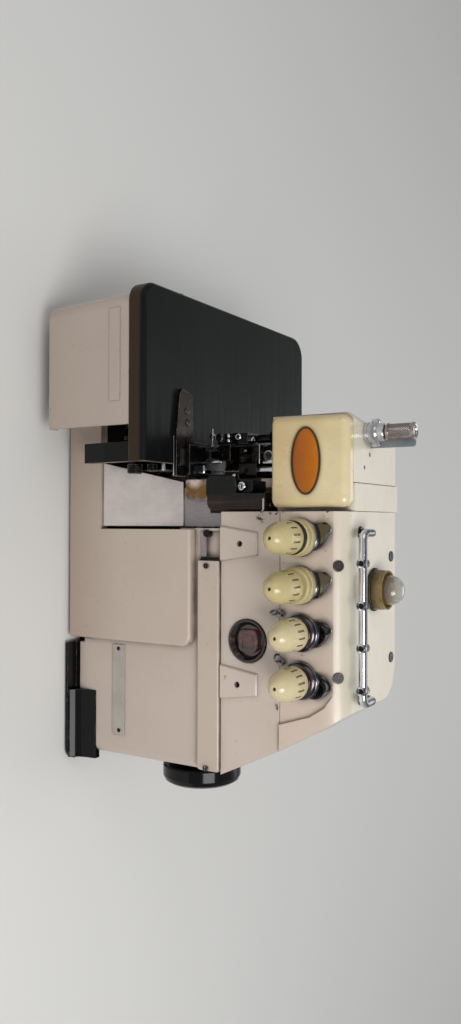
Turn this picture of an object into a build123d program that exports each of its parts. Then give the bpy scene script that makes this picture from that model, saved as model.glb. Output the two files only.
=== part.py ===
"""Overlock sewing machine head: cast body, cloth plate, covers, tensions, needle and looper works.

Millimetres, +Z up, +X to the operator's right, +Y away from the operator.
The origin is at the floor, under the middle of the whole machine.
"""
import os
from math import atan2, cos, degrees, radians, sin
from build123d import *

# Overall sizes
MACHINE_LEFT = -208.0
MACHINE_RIGHT = 208.0
PLATE_DEPTH = 270.0
PLATE_TOP = 118.0
FIT = 0.3
RUNNING = 0.05

# Cloth plate and the cover under it
PLATE_RIGHT = -66.8
PLATE_THICK = 2.5
PLATE_LIP = 15.0
PLATE_EDGE_RADIUS = 3.5
PLATE_FRONT_CORNER = 15.0
PLATE_BACK_CORNER = 20.0
PLATE_HINGE_X = -80.0
PLATE_HINGE_Y = 75.0
HINGE_PIN_RADIUS = 4.0
HINGE_KNUCKLE_RADIUS = 8.0
KNUCKLE_HEIGHT = 22.0
SIDE_COVER_LEFT = -202.6
SIDE_COVER_RIGHT = -96.4
SIDE_COVER_LEAN = 3.6
SIDE_COVER_BOTTOM = 17.0
SIDE_COVER_REACH = 112.0
SIDE_COVER_WALL = 3.0
SIDE_COVER_CORNER = 12.0
SIDE_COVER_EDGE = 3.5
SIDE_COVER_FLANGE = 10.0
LABEL_PAD = 0.4
LABEL_LEFT = -189.0
LABEL_RIGHT = -115.5
LABEL_LOW = 83.0
LABEL_HIGH = 94.0
LEVER_LEFT = -84.5
LEVER_RIGHT = -68.5
LEVER_LOW = 41.5
LEVER_INSET = 20.0
LEVER_PIVOT_Z = 94.0
LEVER_PIN_RADIUS = 2.5
LEVER_NECK_Z = 66.0
LEVER_THICK = 9.0
BRACKET_THICK = 3.0
CATCH_RIGHT = -58.5
CATCH_RADIUS = 6.0

# Main casting
BODY_LEFT = -62.0
BODY_RIGHT = 180.0
BODY_FRONT = -82.8
BODY_BACK = 36.0
BODY_BOTTOM = 22.0
BODY_TOP = 156.6
BODY_WALL = 5.0
BAY_LEFT = -135.0
BAY_BACK = 12.0
BAY_FRONT = -74.0
BAY_WALL_TOP = 100.0
DECK_FRONT = -34.5
SHELF_BACK = -20.0
PILLAR_LEFT = -65.0
KNIFE_SEAT = -55.0
SHAFT_Y = -22.0
SHAFT_Z = 98.0
SHAFT_RADIUS = 8.0
BUSH_WALL = 4.0
ECCENTRIC_RADIUS = 12.0
ECCENTRIC_THROW = 2.0
ECCENTRIC_PLACES = (-30.0, 10.0, 60.0)
WHEEL_RADIUS = 34.5
WHEEL_WIDTH = 26.2
WHEEL_GROOVE = 7.0

# Base
FOOT_HEIGHT = 2.0
FOOT_RADIUS = 13.0
FLANGE_THICK = 2.5
BASE_LEFT = -130.0
BASE_RIGHT = 188.0
BASE_FRONT = -94.0
RECESS_FRONT = -75.5
BASE_BACK = 52.0
BASE_CORNER = 10.0
FLARE_LEFT = 127.0
FLARE_TOP = 27.0
PAN_WALL = 4.0
PAN_INSET = 9.0
STEP_TOP = 9.0
FOOT_INSET = 22.0

# Front cover
COVER_FACE = -91.5
COVER_LEFT = -105.0
NOTCH_X = -14.0
COVER_RIGHT = 80.5
COVER_BOTTOM = 3.5
COVER_TOP = 131.0
STRIP_TOP = 39.0
COVER_WALL = 2.5
COVER_EDGE = 2.5
COVER_HINGE_Y = -84.5
COVER_HINGE_Z = 12.0
COVER_ROD_RADIUS = 2.0
COVER_SLEEVE_RADIUS = 3.9
COVER_LUG_RADIUS = 5.9
COVER_SLIDE = 4.0
EAR_HALF = 3.0
EAR_RADIUS = 3.8
COVER_EARS = (-70.0, 62.0)
CHUTE_LEFT = -70.5
CHUTE_TOP_LEFT = -53.0
CHUTE_RIGHT = NOTCH_X - 2.5
CHUTE_FOLD_Y = -71.5
CHUTE_FOLD_Z = 111.0
CHUTE_THICK = 1.2

# Trim on the front of the case
STRIP_SCREW_X = (15.0, 176.0)
STRIP_SCREW_Z = 144.7
STRIP_LEFT = 11.0
STRIP_THICK = 4.7
NAME_LEFT = 85.0
NAME_RIGHT = 162.0
NAME_LOW = 46.0
NAME_HIGH = 59.0
NAME_THICK = 0.8
BUTTON_X = NOTCH_X + 3.2
BUTTON_Z = 142.7
BUTTON_RADIUS = 2.8

# Upper housing
PANEL_TOP = 209.8
PANEL_FACE = -85.0
PANEL_THICK = 6.0
TOP_Z = 264.0
TOP_FACE = -87.0
RIDGE_RADIUS = 18.0
TOP_CORNER = 24.0
SHOULDER_DROP = 9.0
SLOPE_SCREWS = (12.2, 94.5)
SLOPE_ANGLE = 50.0
LID_SCREWS = ((7.7, 5.5), (89.8, 5.5))
LID_HEAD_RADIUS = 4.0
UPPER_LEFT = -28.1
UPPER_BACK = 15.0
UPPER_WALL = 5.0
SEAM = 0.4
WINDOW_X = 72.5
WINDOW_Z = 181.5
WINDOW_RADIUS = 17.0
PANEL_SCREWS = ((-3.0, 175.0), (107.0, 173.0))
SHAFT_LUGS = ((-24.0, -12.0), (14.0, 26.0))
DOME_X = 32.5
DOME_Y = -30.0
DOME_FOOT_RADIUS = 15.8
DOME_RADIUS = 12.6
DOME_HEIGHT = 23.0
DOME_WALL = 1.8
GUIDE_LEFT = -12.0
GUIDE_RIGHT = 113.0
GUIDE_RADIUS = 3.2
GUIDE_RISE = 11.0
GUIDE_FOOT_Y = -57.0
GUIDE_FRONT_Y = -78.0
GUIDE_BEND = 6.0
GUIDE_EYE_FIRST = 10.1
GUIDE_EYE_PITCH = 30.9
GUIDE_EYE_RADIUS = 1.3

# Head over the needle
HEAD_LEFT = -102.5
HEAD_BACK_LEFT = -88.0
HEAD_BACK = 20.5
HEAD_FRONT = -70.5
HEAD_BOTTOM = 196.0
HEAD_WALL = 3.5
HEAD_SEAM_X = -50.0
FACE_LEFT = -100.6
FACE_RIGHT = -31.0
FACE_BOTTOM = 204.0
FACE_BULGE = 19.0
FACE_LEAN = 9.0
FACE_ROUND = 7.0
FACE_WALL = 2.5
HEAD_HOLES = ((-72.5, -38.8, 1.8), (-62.1, -49.3, 1.5))
BADGE_X = -66.0
BADGE_Z = 232.0
BADGE_WIDTH = 51.0
BADGE_HEIGHT = 23.0

# Tensions
TENSION_FIRST_X = -8.5
TENSION_PITCH = 35.7
TENSION_COUNT = 4
TENSION_Z = 228.0
KNOB_RADIUS = 12.5
KNOB_LENGTH = 30.0
KNOB_FLUTES = 12
DISC_RADIUS = 14.0
POST_RADIUS = 3.0
KNOB_TIPS = (-134.7, -134.7, -127.0, -127.0)
KNOB_BORE_DEPTH = 9.0
RING_RADIUS = 13.6
RING_WIDTH = 5.6
RINGED = 2
DISC_STACK = 3.0
SPRING_RADIUS = 6.2
SPRING_WIRE = 0.6
SCREW_TOP_RISE = 39.0
THREAD_STRIP_LEFT = -83.5
THREAD_STRIP_RIGHT = -77.4
THREAD_STRIP_Y = -36.0
THREAD_STRIP_RISE = 36.0

# Needle, foot and knives
NEEDLE_X = -62.0
NEEDLE_Y = -56.0
NEEDLE_BAR_RADIUS = 3.6
NEEDLE_TIP = 129.0
NEEDLE_SHANK = 1.0
CLAMP_LOW = 160.0
CLAMP_TOP = 176.0
TONGUE_THICK = 3.2
TONGUE_SCREWS = ((-110.7, -82.0), (-101.4, -80.5), (-60.5, -25.8))
FEED_NOTCH = (-86.0, -95.0, -22.0)
PRESS_X = -88.7
PRESS_Y = -44.5
PRESS_ROD_RADIUS = 3.5
SCREW_RADIUS = 4.5
PRESS_HEAD_RADIUS = 6.5
PRESS_PIVOT_Y = 30.0
PRESS_PIVOT_Z = 172.0
PRESS_SHAFT_RADIUS = 6.0
PRESS_ARM_TOP = 166.0
PRESS_ARM_LEFT = -93.0
PRESS_ARM_RIGHT = -84.0
FOOT_PIN_Y = -52.0
FOOT_PIN_Z = 131.0
FOOT_PIN_RADIUS = 1.5
KNIFE_FRONT = -69.0
KNIFE_BACK = -60.5
KNIFE_CLAMP_TOP = 112.0
KNIFE_POST_TOP = 96.0
GUARD_LEFT = -42.6
GUARD_RIGHT = -28.4
GUARD_LOW = 138.0
GUARD_TOP = 193.0
GUARD_FRONT = -78.0
GUARD_WALL = 2.0
GUARD_WING_LEFT = -57.0
GUARD_WING_TOP = 166.0

# Loopers and feed
LOOPER_PIVOT = (-100.0, 50.0)
UPPER_PIVOT = (-42.0, 62.0)
LOOPER_SHAFT_RADIUS = 5.0
LOOPER_FRONT = -60.5
LOWER_REST_TURN = 16.0
UPPER_REST_TURN = 11.0
FEED_LEFT = -80.0
FEED_RIGHT = -66.0
FEED_BAR_WIDTH = 5.0
FEED_BACK = 14.0
FEED_BAR_LOW = 106.0
FEED_BAR_TOP = 112.0

# Places that follow from the dimensions above
PLATE_FRONT = -PLATE_DEPTH / 2
PLATE_BACK = PLATE_DEPTH / 2
PLATE_UNDER = PLATE_TOP - PLATE_THICK
LEVER_PIVOT_Y = PLATE_FRONT + LEVER_INSET
TONGUE_LOW = PLATE_TOP + FIT
TONGUE_TOP = TONGUE_LOW + TONGUE_THICK
FLANGE_TOP = FOOT_HEIGHT + FLANGE_THICK
FOOT_PLACES = [(BASE_LEFT + FOOT_INSET, RECESS_FRONT + FOOT_RADIUS + 2),
               (BASE_LEFT + FOOT_INSET, BASE_BACK - FOOT_INSET),
               (BASE_RIGHT - FOOT_INSET, BASE_FRONT + FOOT_INSET),
               (BASE_RIGHT - FOOT_INSET, BASE_BACK - FOOT_INSET)]
SLID_RIGHT = COVER_RIGHT + COVER_SLIDE + 1
PAN_FRONT = BODY_FRONT + PAN_INSET
FACE_TOP = TOP_Z
FACE_FRONT = HEAD_FRONT - FACE_BULGE
GUIDE_HEIGHT = TOP_Z + GUIDE_RISE
SLEEVE_PLACES = (COVER_EARS[0] + 16, COVER_EARS[1] - 16)
RIVET_PLACES = [(NAME_LEFT + 3.5, 52.5), (NAME_RIGHT - 3.8, 53.2)]
TENSION_X = [TENSION_FIRST_X + TENSION_PITCH * i for i in range(TENSION_COUNT)]
TENSIONS = list(zip(TENSION_X, KNOB_TIPS))
RING_FRONT = PANEL_FACE - DISC_STACK - 2 * RING_WIDTH - 0.8


def block(x0, x1, y0, y1, z0, z1):
    """A box between two corners."""
    place = Pos((x0 + x1) / 2, (y0 + y1) / 2, (z0 + z1) / 2)
    return place * Box(x1 - x0, y1 - y0, z1 - z0)


def rod_x(x0, x1, y, z, radius):
    """A round bar along X."""
    return Pos((x0 + x1) / 2, y, z) * Rot(0, 90, 0) * Cylinder(radius, x1 - x0)


def rod_y(x, y0, y1, z, radius):
    """A round bar along Y."""
    return Pos(x, (y0 + y1) / 2, z) * Rot(90, 0, 0) * Cylinder(radius, y1 - y0)


def rod_z(x, y, z0, z1, radius):
    """A round bar along Z."""
    return Pos(x, y, (z0 + z1) / 2) * Cylinder(radius, z1 - z0)


def front_outline(points, y0, y1):
    """An outline in X and Z, run back from y0 to y1."""
    face = make_face(Polyline(*[(x, y0, z) for x, z in points], close=True))
    return extrude(face, amount=y1 - y0, dir=(0, 1, 0))


def side_outline(points, x0, x1):
    """An outline in Y and Z, run to the right from x0 to x1."""
    face = make_face(Polyline(*[(x0, y, z) for y, z in points], close=True))
    return extrude(face, amount=x1 - x0, dir=(1, 0, 0))


def plan_outline(points, z0, z1):
    """An outline in X and Y, run up from z0 to z1."""
    face = make_face(Polyline(*[(x, y, z0) for x, y in points], close=True))
    return extrude(face, amount=z1 - z0, dir=(0, 0, 1))


def turned_z(points, x, y):
    """A turned shape about a vertical axis, from radius and height pairs."""
    face = make_face(Polyline(*[(r, 0, z) for r, z in points], close=True))
    return Pos(x, y, 0) * revolve(face, Axis.Z)


def turned_y(points, x, z):
    """A turned shape about an axis along Y, from radius and Y pairs."""
    face = make_face(Polyline(*[(r, y, 0) for r, y in points], close=True))
    return Pos(x, 0, z) * revolve(face, Axis.Y)


def edges_near(shape, axis, x=None, y=None, z=None, reach=0.6):
    """Edges along one axis whose middle lies near the given places."""
    found = []
    for edge in shape.edges().filter_by(axis):
        middle = edge.position_at(0.5)
        wanted = ((x, middle.X), (y, middle.Y), (z, middle.Z))
        if all(w is None or abs(w - m) < reach for w, m in wanted):
            found.append(edge)
    return found


def holes(shape, tools):
    """Takes each tool out of the shape."""
    for tool in tools:
        shape = shape - tool
    return shape


# Cloth plate assembly
def plate_slab(inset, z0, z1, right):
    """The plate's rounded outline, drawn in by an inset on its three lipped sides."""
    left = MACHINE_LEFT + inset
    slab = block(left, right, PLATE_FRONT + inset, PLATE_BACK - inset, z0, z1)
    front = edges_near(slab, Axis.Z, x=left, y=PLATE_FRONT + inset)
    slab = fillet(front, PLATE_FRONT_CORNER - inset)
    back = edges_near(slab, Axis.Z, x=left, y=PLATE_BACK - inset)
    return fillet(back, PLATE_BACK_CORNER - inset)


def cloth_plate():
    """Pressed steel plate with a lip on three sides and a notch over the feed."""
    low = PLATE_TOP - PLATE_LIP
    slab = plate_slab(0, low, PLATE_TOP, PLATE_RIGHT)
    rim = [e for e in slab.edges() if e.position_at(0.5).Z > PLATE_TOP - 0.01]
    rim = [e for e in rim if e.position_at(0.5).X < PLATE_RIGHT - 0.5]
    slab = fillet(rim, PLATE_EDGE_RADIUS)
    slab = slab - plate_slab(PLATE_THICK, low - 1, PLATE_UNDER, PLATE_RIGHT + 5)
    notch_x, notch_front, notch_back = FEED_NOTCH
    slab = slab - block(notch_x, PLATE_RIGHT + 5, notch_front, notch_back, low - 1, PLATE_TOP + 1)
    knuckle = rod_z(PLATE_HINGE_X, PLATE_HINGE_Y, PLATE_UNDER - KNUCKLE_HEIGHT, PLATE_UNDER,
                    HINGE_KNUCKLE_RADIUS)
    bore = rod_z(PLATE_HINGE_X, PLATE_HINGE_Y, PLATE_UNDER - KNUCKLE_HEIGHT - 1, PLATE_UNDER - 2,
                 HINGE_PIN_RADIUS + RUNNING)
    return slab + knuckle - bore


def side_cover_form(inset, bottom, top, back):
    """The leaning outline of the side cover, drawn in by an inset."""
    left = SIDE_COVER_LEFT + inset
    points = [(left, top), (SIDE_COVER_RIGHT, top), (SIDE_COVER_RIGHT, bottom),
              (left + SIDE_COVER_LEAN, bottom)]
    form = front_outline(points, PLATE_FRONT + LABEL_PAD + inset, back)
    front = PLATE_FRONT + LABEL_PAD + inset
    corner = [e for e in form.edges() if abs(e.position_at(0.5).Y - front) < 0.1
              and abs(e.tangent_at(0.5).Z) > 0.9 and e.position_at(0.5).X < PLATE_HINGE_X - 30]
    return fillet(corner, SIDE_COVER_CORNER - inset)


def side_cover():
    """Cast cover below the plate, open to the right and the back, with a turned-in bottom edge."""
    top = PLATE_TOP - PLATE_LIP
    back = PLATE_FRONT + SIDE_COVER_REACH
    shell = side_cover_form(0, SIDE_COVER_BOTTOM, top, back)
    low = [e for e in shell.edges() if abs(e.position_at(0.5).Z - SIDE_COVER_BOTTOM) < 0.1
           and e.position_at(0.5).X < SIDE_COVER_RIGHT - 2 and e.position_at(0.5).Y < back - 1]
    shell = fillet(low, SIDE_COVER_EDGE)
    face = PLATE_FRONT + LABEL_PAD
    wall = SIDE_COVER_WALL
    floor = SIDE_COVER_BOTTOM + wall
    inner = side_cover_form(wall, floor, top + 1, back + 1)
    side_gap = block(SIDE_COVER_RIGHT - 1, SIDE_COVER_RIGHT + 1, face + wall, back + 1, floor, top + 1)
    floor_gap = block(SIDE_COVER_LEFT + SIDE_COVER_LEAN + SIDE_COVER_FLANGE, SIDE_COVER_RIGHT + 1,
                      face + SIDE_COVER_FLANGE, back + 1, SIDE_COVER_BOTTOM - 1, floor + 1)
    shell = holes(shell, [inner, side_gap, floor_gap])
    pad = block(LABEL_LEFT, LABEL_RIGHT, PLATE_FRONT, face + 1, LABEL_LOW, LABEL_HIGH)
    tab = block(LABEL_LEFT, LABEL_RIGHT, face + wall - 0.5, face + wall + 2, LABEL_LOW, PLATE_UNDER)
    return shell + pad + tab


def latch_bracket():
    """Black steel bracket under the plate that carries the latch lever's pin."""
    web = block(LEVER_LEFT - 4, LEVER_RIGHT, LEVER_PIVOT_Y - 8, LEVER_PIVOT_Y + 8,
                PLATE_UNDER - BRACKET_THICK, PLATE_UNDER)
    ears = web + block(LEVER_LEFT - 1 - BRACKET_THICK, LEVER_LEFT - 1, LEVER_PIVOT_Y - 6, LEVER_PIVOT_Y + 6,
                       LEVER_PIVOT_Z - 6, PLATE_UNDER)
    pin = rod_x(LEVER_LEFT - 2, CATCH_RIGHT - 1, LEVER_PIVOT_Y, LEVER_PIVOT_Z, LEVER_PIN_RADIUS)
    catch = rod_x(LEVER_RIGHT + 2, CATCH_RIGHT, LEVER_PIVOT_Y, LEVER_PIVOT_Z, CATCH_RADIUS)
    return ears + pin + chamfer(catch.edges().filter_by(GeomType.CIRCLE), 0.8)


def latch_lever():
    """Black latch handle with a thumb pad at its foot."""
    half = LEVER_THICK / 2
    bent = LEVER_PIVOT_Y + 3
    stem_points = [(LEVER_PIVOT_Y - half, LEVER_PIVOT_Z + 4), (LEVER_PIVOT_Y + half, LEVER_PIVOT_Z + 4),
                   (LEVER_PIVOT_Y + half, LEVER_NECK_Z), (bent + half, LEVER_LOW),
                   (bent - half, LEVER_LOW), (LEVER_PIVOT_Y - half, LEVER_NECK_Z)]
    stem = side_outline(stem_points, LEVER_LEFT, LEVER_RIGHT)
    stem = fillet(edges_near(stem, Axis.X, z=LEVER_LOW), 1.5)
    return stem - rod_x(LEVER_LEFT - 1, LEVER_RIGHT + 1, LEVER_PIVOT_Y, LEVER_PIVOT_Z,
                        LEVER_PIN_RADIUS + RUNNING)


# Base
def base_tray():
    """Black oil tray: a flange on the floor side, a pan with two hinge ears and a flared right end."""
    flange = block(BASE_LEFT, BASE_RIGHT, RECESS_FRONT, BASE_BACK, FOOT_HEIGHT, FLANGE_TOP)
    flange = flange + block(SLID_RIGHT, BASE_RIGHT, BASE_FRONT, RECESS_FRONT + 1, FOOT_HEIGHT, FLANGE_TOP)
    outer = [e for e in flange.edges().filter_by(Axis.Z) if abs(e.position_at(0.5).X - SLID_RIGHT) > 1]
    flange = fillet(outer, BASE_CORNER)
    pan_left = BASE_LEFT + 10
    pan_right = BODY_RIGHT - 2
    pan_back = BASE_BACK - 12
    pan = block(pan_left, pan_right, PAN_FRONT, pan_back, FOOT_HEIGHT, BODY_BOTTOM)
    pan = fillet(pan.edges().filter_by(Axis.Z), 8)
    hollow = block(pan_left + PAN_WALL, pan_right - PAN_WALL, PAN_FRONT + PAN_WALL, pan_back - PAN_WALL,
                   FLANGE_TOP, BODY_BOTTOM + 1)
    step = block(SLID_RIGHT, FLARE_LEFT, BODY_FRONT, PAN_FRONT + 1, FOOT_HEIGHT, STEP_TOP)
    rise = FLARE_TOP - FLANGE_TOP
    root = FLANGE_TOP - 1
    flare = side_outline([(BASE_FRONT + 2, root), (BASE_FRONT + 2, FLANGE_TOP + 0.8),
                          (BODY_FRONT - 5.5, FLANGE_TOP + rise * 0.16),
                          (BODY_FRONT - 3, FLANGE_TOP + rise * 0.38),
                          (BODY_FRONT - 1.4, FLANGE_TOP + rise * 0.68), (BODY_FRONT - 0.5, FLARE_TOP),
                          (BODY_FRONT + 5, FLARE_TOP), (BODY_FRONT + 5, root)], FLARE_LEFT, BASE_RIGHT - 2)
    link = block(FLARE_LEFT, pan_right - 10, BODY_FRONT + 4, PAN_FRONT + 1, FOOT_HEIGHT, STEP_TOP)
    tray = flange + (pan - hollow) + step + flare + link
    for x in COVER_EARS:
        arm = block(x - EAR_HALF, x + EAR_HALF, COVER_HINGE_Y, PAN_FRONT + 1, COVER_HINGE_Z - 2.8,
                    COVER_HINGE_Z + 2.8)
        tray = tray + arm + rod_x(x - EAR_HALF, x + EAR_HALF, COVER_HINGE_Y, COVER_HINGE_Z, EAR_RADIUS)
    tray = holes(tray, [rod_x(x - 4, x + 4, COVER_HINGE_Y, COVER_HINGE_Z, COVER_ROD_RADIUS)
                        for x in COVER_EARS])
    return holes(tray, [rod_z(x, y, FOOT_HEIGHT - 1, FOOT_HEIGHT + 1, FOOT_RADIUS) for x, y in FOOT_PLACES])


def rubber_feet():
    """Four round rubber cushions let into the tray."""
    feet = [turned_z([(0, 0), (FOOT_RADIUS - 2, 0), (FOOT_RADIUS, 1.2), (FOOT_RADIUS, FOOT_HEIGHT + 1),
                      (0, FOOT_HEIGHT + 1)], x, y) for x, y in FOOT_PLACES]
    return Compound(children=feet)


# Main casting
def machine_frame():
    """Lower casting: a hollow gear case on the right and an open looper bay on the left."""
    case = block(BODY_LEFT, BODY_RIGHT, BODY_FRONT, BODY_BACK, BODY_BOTTOM, BODY_TOP)
    case = fillet(edges_near(case, Axis.Z, x=BODY_RIGHT), 7)
    case = fillet(edges_near(case, Axis.Z, x=BODY_LEFT, y=BODY_BACK), 7)
    inside = block(BODY_LEFT + BODY_WALL, BODY_RIGHT - BODY_WALL, BODY_FRONT + BODY_WALL,
                   BODY_BACK - BODY_WALL, BODY_BOTTOM - 1, BODY_TOP - BODY_WALL)
    case = case - inside
    well = block(BODY_LEFT - 4, NOTCH_X - 1, BODY_FRONT - 1, DECK_FRONT, PLATE_TOP - 6, BODY_TOP + 1)
    shelf = block(BODY_LEFT - 4, NOTCH_X - 1, BODY_FRONT - 1, SHELF_BACK, TONGUE_LOW, BODY_TOP + 1)
    deck = block(BODY_LEFT, NOTCH_X, DECK_FRONT, SHELF_BACK + 6, TONGUE_LOW - BODY_WALL, TONGUE_LOW)
    riser = block(BODY_LEFT, NOTCH_X, SHELF_BACK, SHELF_BACK + BODY_WALL, TONGUE_LOW - 1, BODY_TOP)
    cheek = block(NOTCH_X - 1, NOTCH_X - 1 + BODY_WALL, BODY_FRONT, SHELF_BACK + 1, PLATE_TOP - 6, BODY_TOP)
    case = (case - well - shelf) + deck + riser + cheek
    window = block(BODY_LEFT - 1, NOTCH_X + 80, BODY_FRONT - 1, BODY_FRONT + BODY_WALL + 1,
                   BODY_BOTTOM + 8, COVER_TOP - 8)
    case = case - window
    slot = block(NOTCH_X + 1, NOTCH_X + 22, BODY_FRONT - 1, BODY_FRONT + 3, COVER_TOP + 5.5, BODY_TOP - 2)
    case = case - slot
    tab = block(COVER_RIGHT + 1.5, FLARE_LEFT, BODY_FRONT, BODY_FRONT + 5, COVER_HINGE_Z + 2, BODY_BOTTOM + 1)
    tab = tab + block(SLID_RIGHT, FLARE_LEFT, BODY_FRONT, BODY_FRONT + 5, STEP_TOP, BODY_BOTTOM)
    trim = block(FLARE_LEFT, BODY_RIGHT + 1, BODY_FRONT - 1, BODY_FRONT + 5.5, BODY_BOTTOM - 1,
                 FLARE_TOP + SEAM)
    case = (case + tab) - trim
    bay_floor = block(BAY_LEFT, BODY_LEFT + 1, BAY_FRONT, BAY_BACK, BODY_BOTTOM, BODY_BOTTOM + BODY_WALL)
    bay_back = block(BAY_LEFT, BODY_LEFT + 1, BAY_BACK - BODY_WALL, BAY_BACK, BODY_BOTTOM, BAY_WALL_TOP)
    bay_side = side_outline([(BAY_FRONT, BODY_BOTTOM), (BAY_BACK, BODY_BOTTOM), (BAY_BACK, BAY_WALL_TOP),
                             (BAY_BACK - 30, BAY_WALL_TOP), (BAY_FRONT, BODY_BOTTOM + 22)],
                            BAY_LEFT, BAY_LEFT + BODY_WALL)
    casting = case + bay_floor + bay_back + bay_side
    arm_top = PLATE_UNDER - KNUCKLE_HEIGHT - FIT
    arm = plan_outline([(BODY_LEFT + 1, BODY_BACK - 10), (BODY_LEFT + 14, BODY_BACK - 10),
                        (PLATE_HINGE_X + HINGE_KNUCKLE_RADIUS, PLATE_HINGE_Y),
                        (PLATE_HINGE_X - HINGE_KNUCKLE_RADIUS, PLATE_HINGE_Y),
                        (BODY_LEFT - 30, BAY_BACK - 1), (BODY_LEFT + 1, BAY_BACK - 1)], arm_top - 12, arm_top)
    arm = arm + rod_z(PLATE_HINGE_X, PLATE_HINGE_Y, arm_top - 12, arm_top, HINGE_KNUCKLE_RADIUS)
    casting = casting + arm
    pillar = block(PILLAR_LEFT, KNIFE_SEAT, DECK_FRONT - 11.5, DECK_FRONT + 1, BODY_BOTTOM + 2, TONGUE_LOW)
    knife_post = block(PILLAR_LEFT, KNIFE_SEAT + 3, KNIFE_FRONT - 2, KNIFE_BACK, BODY_BOTTOM + 2,
                       KNIFE_POST_TOP)
    feed_rail = block(FEED_LEFT - 2, FEED_RIGHT, BAY_BACK - BODY_WALL, BAY_BACK, BAY_WALL_TOP - 1,
                      FEED_BAR_LOW - FIT)
    casting = casting + pillar + knife_post + feed_rail
    bores = [rod_x(BODY_LEFT - 2, BODY_LEFT + BODY_WALL + 2, SHAFT_Y, SHAFT_Z, SHAFT_RADIUS + BUSH_WALL),
             rod_x(BODY_RIGHT - BODY_WALL - 2, BODY_RIGHT + 2, SHAFT_Y, SHAFT_Z, SHAFT_RADIUS + BUSH_WALL),
             rod_z(PLATE_HINGE_X, PLATE_HINGE_Y, arm_top - 13, arm_top + 1, HINGE_PIN_RADIUS),
             rod_y(LOOPER_PIVOT[0], BAY_BACK - BODY_WALL - 1, BAY_BACK + 1, LOOPER_PIVOT[1],
                   LOOPER_SHAFT_RADIUS + RUNNING),
             rod_y(UPPER_PIVOT[0], BODY_BACK - BODY_WALL - 1, BODY_BACK + 1, UPPER_PIVOT[1],
                   LOOPER_SHAFT_RADIUS + RUNNING),
             rod_y(BUTTON_X, BODY_FRONT - 1, BODY_FRONT + BODY_WALL + 1, BUTTON_Z, BUTTON_RADIUS + RUNNING),
             rod_y(BUTTON_X, BODY_FRONT + BODY_WALL, BODY_FRONT + 24, BUTTON_Z, BUTTON_RADIUS + 2 + FIT),
             rod_z(*TONGUE_SCREWS[2], TONGUE_LOW - 8, TONGUE_LOW + 1, 1.75),
             block(BODY_LEFT - 1, BODY_LEFT + BODY_WALL + 1, BODY_FRONT - 1, -36, BODY_BOTTOM + 5, PLATE_TOP)]
    bores += [rod_y(x, BODY_FRONT - 1, BODY_FRONT + BODY_WALL + 1, STRIP_SCREW_Z, 1.5) for x in STRIP_SCREW_X]
    bores += [rod_y(x, BODY_FRONT - 1, BODY_FRONT + 1, z, 1.2) for x, z in RIVET_PLACES]
    return holes(casting, bores)


def frame_bushes():
    """Bronze bushes of the main shaft in the case's two walls."""
    tubes = []
    for x0, x1 in ((BODY_LEFT - 1, BODY_LEFT + BODY_WALL + 1), (BODY_RIGHT - BODY_WALL - 1, BODY_RIGHT + 1)):
        tube = rod_x(x0, x1, SHAFT_Y, SHAFT_Z, SHAFT_RADIUS + BUSH_WALL)
        tubes.append(tube - rod_x(x0 - 1, x1 + 1, SHAFT_Y, SHAFT_Z, SHAFT_RADIUS + RUNNING))
    return Compound(children=tubes)


def plate_hinge_pin():
    """Upright pin that the cloth plate swings on."""
    low = PLATE_UNDER - KNUCKLE_HEIGHT - 14
    return rod_z(PLATE_HINGE_X, PLATE_HINGE_Y, low, PLATE_UNDER - 3, HINGE_PIN_RADIUS)


# Handwheel and main shaft
def main_shaft():
    """Main shaft with a collar and the eccentric that drives the loopers."""
    shaft = rod_x(BODY_LEFT - 8, MACHINE_RIGHT - 5, SHAFT_Y, SHAFT_Z, SHAFT_RADIUS)
    inner = BODY_RIGHT - BODY_WALL
    collar = rod_x(inner - 12, inner - 2, SHAFT_Y, SHAFT_Z, SHAFT_RADIUS + 5)
    for centre in ECCENTRIC_PLACES:
        collar = collar + rod_x(centre - 6, centre + 6, SHAFT_Y + ECCENTRIC_THROW, SHAFT_Z, ECCENTRIC_RADIUS)
    flat = block(MACHINE_RIGHT - WHEEL_WIDTH - 1, MACHINE_RIGHT, SHAFT_Y - 20, SHAFT_Y - SHAFT_RADIUS + 1.5,
                 SHAFT_Z - 20, SHAFT_Z + 20)
    return (shaft + collar) - flat


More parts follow.
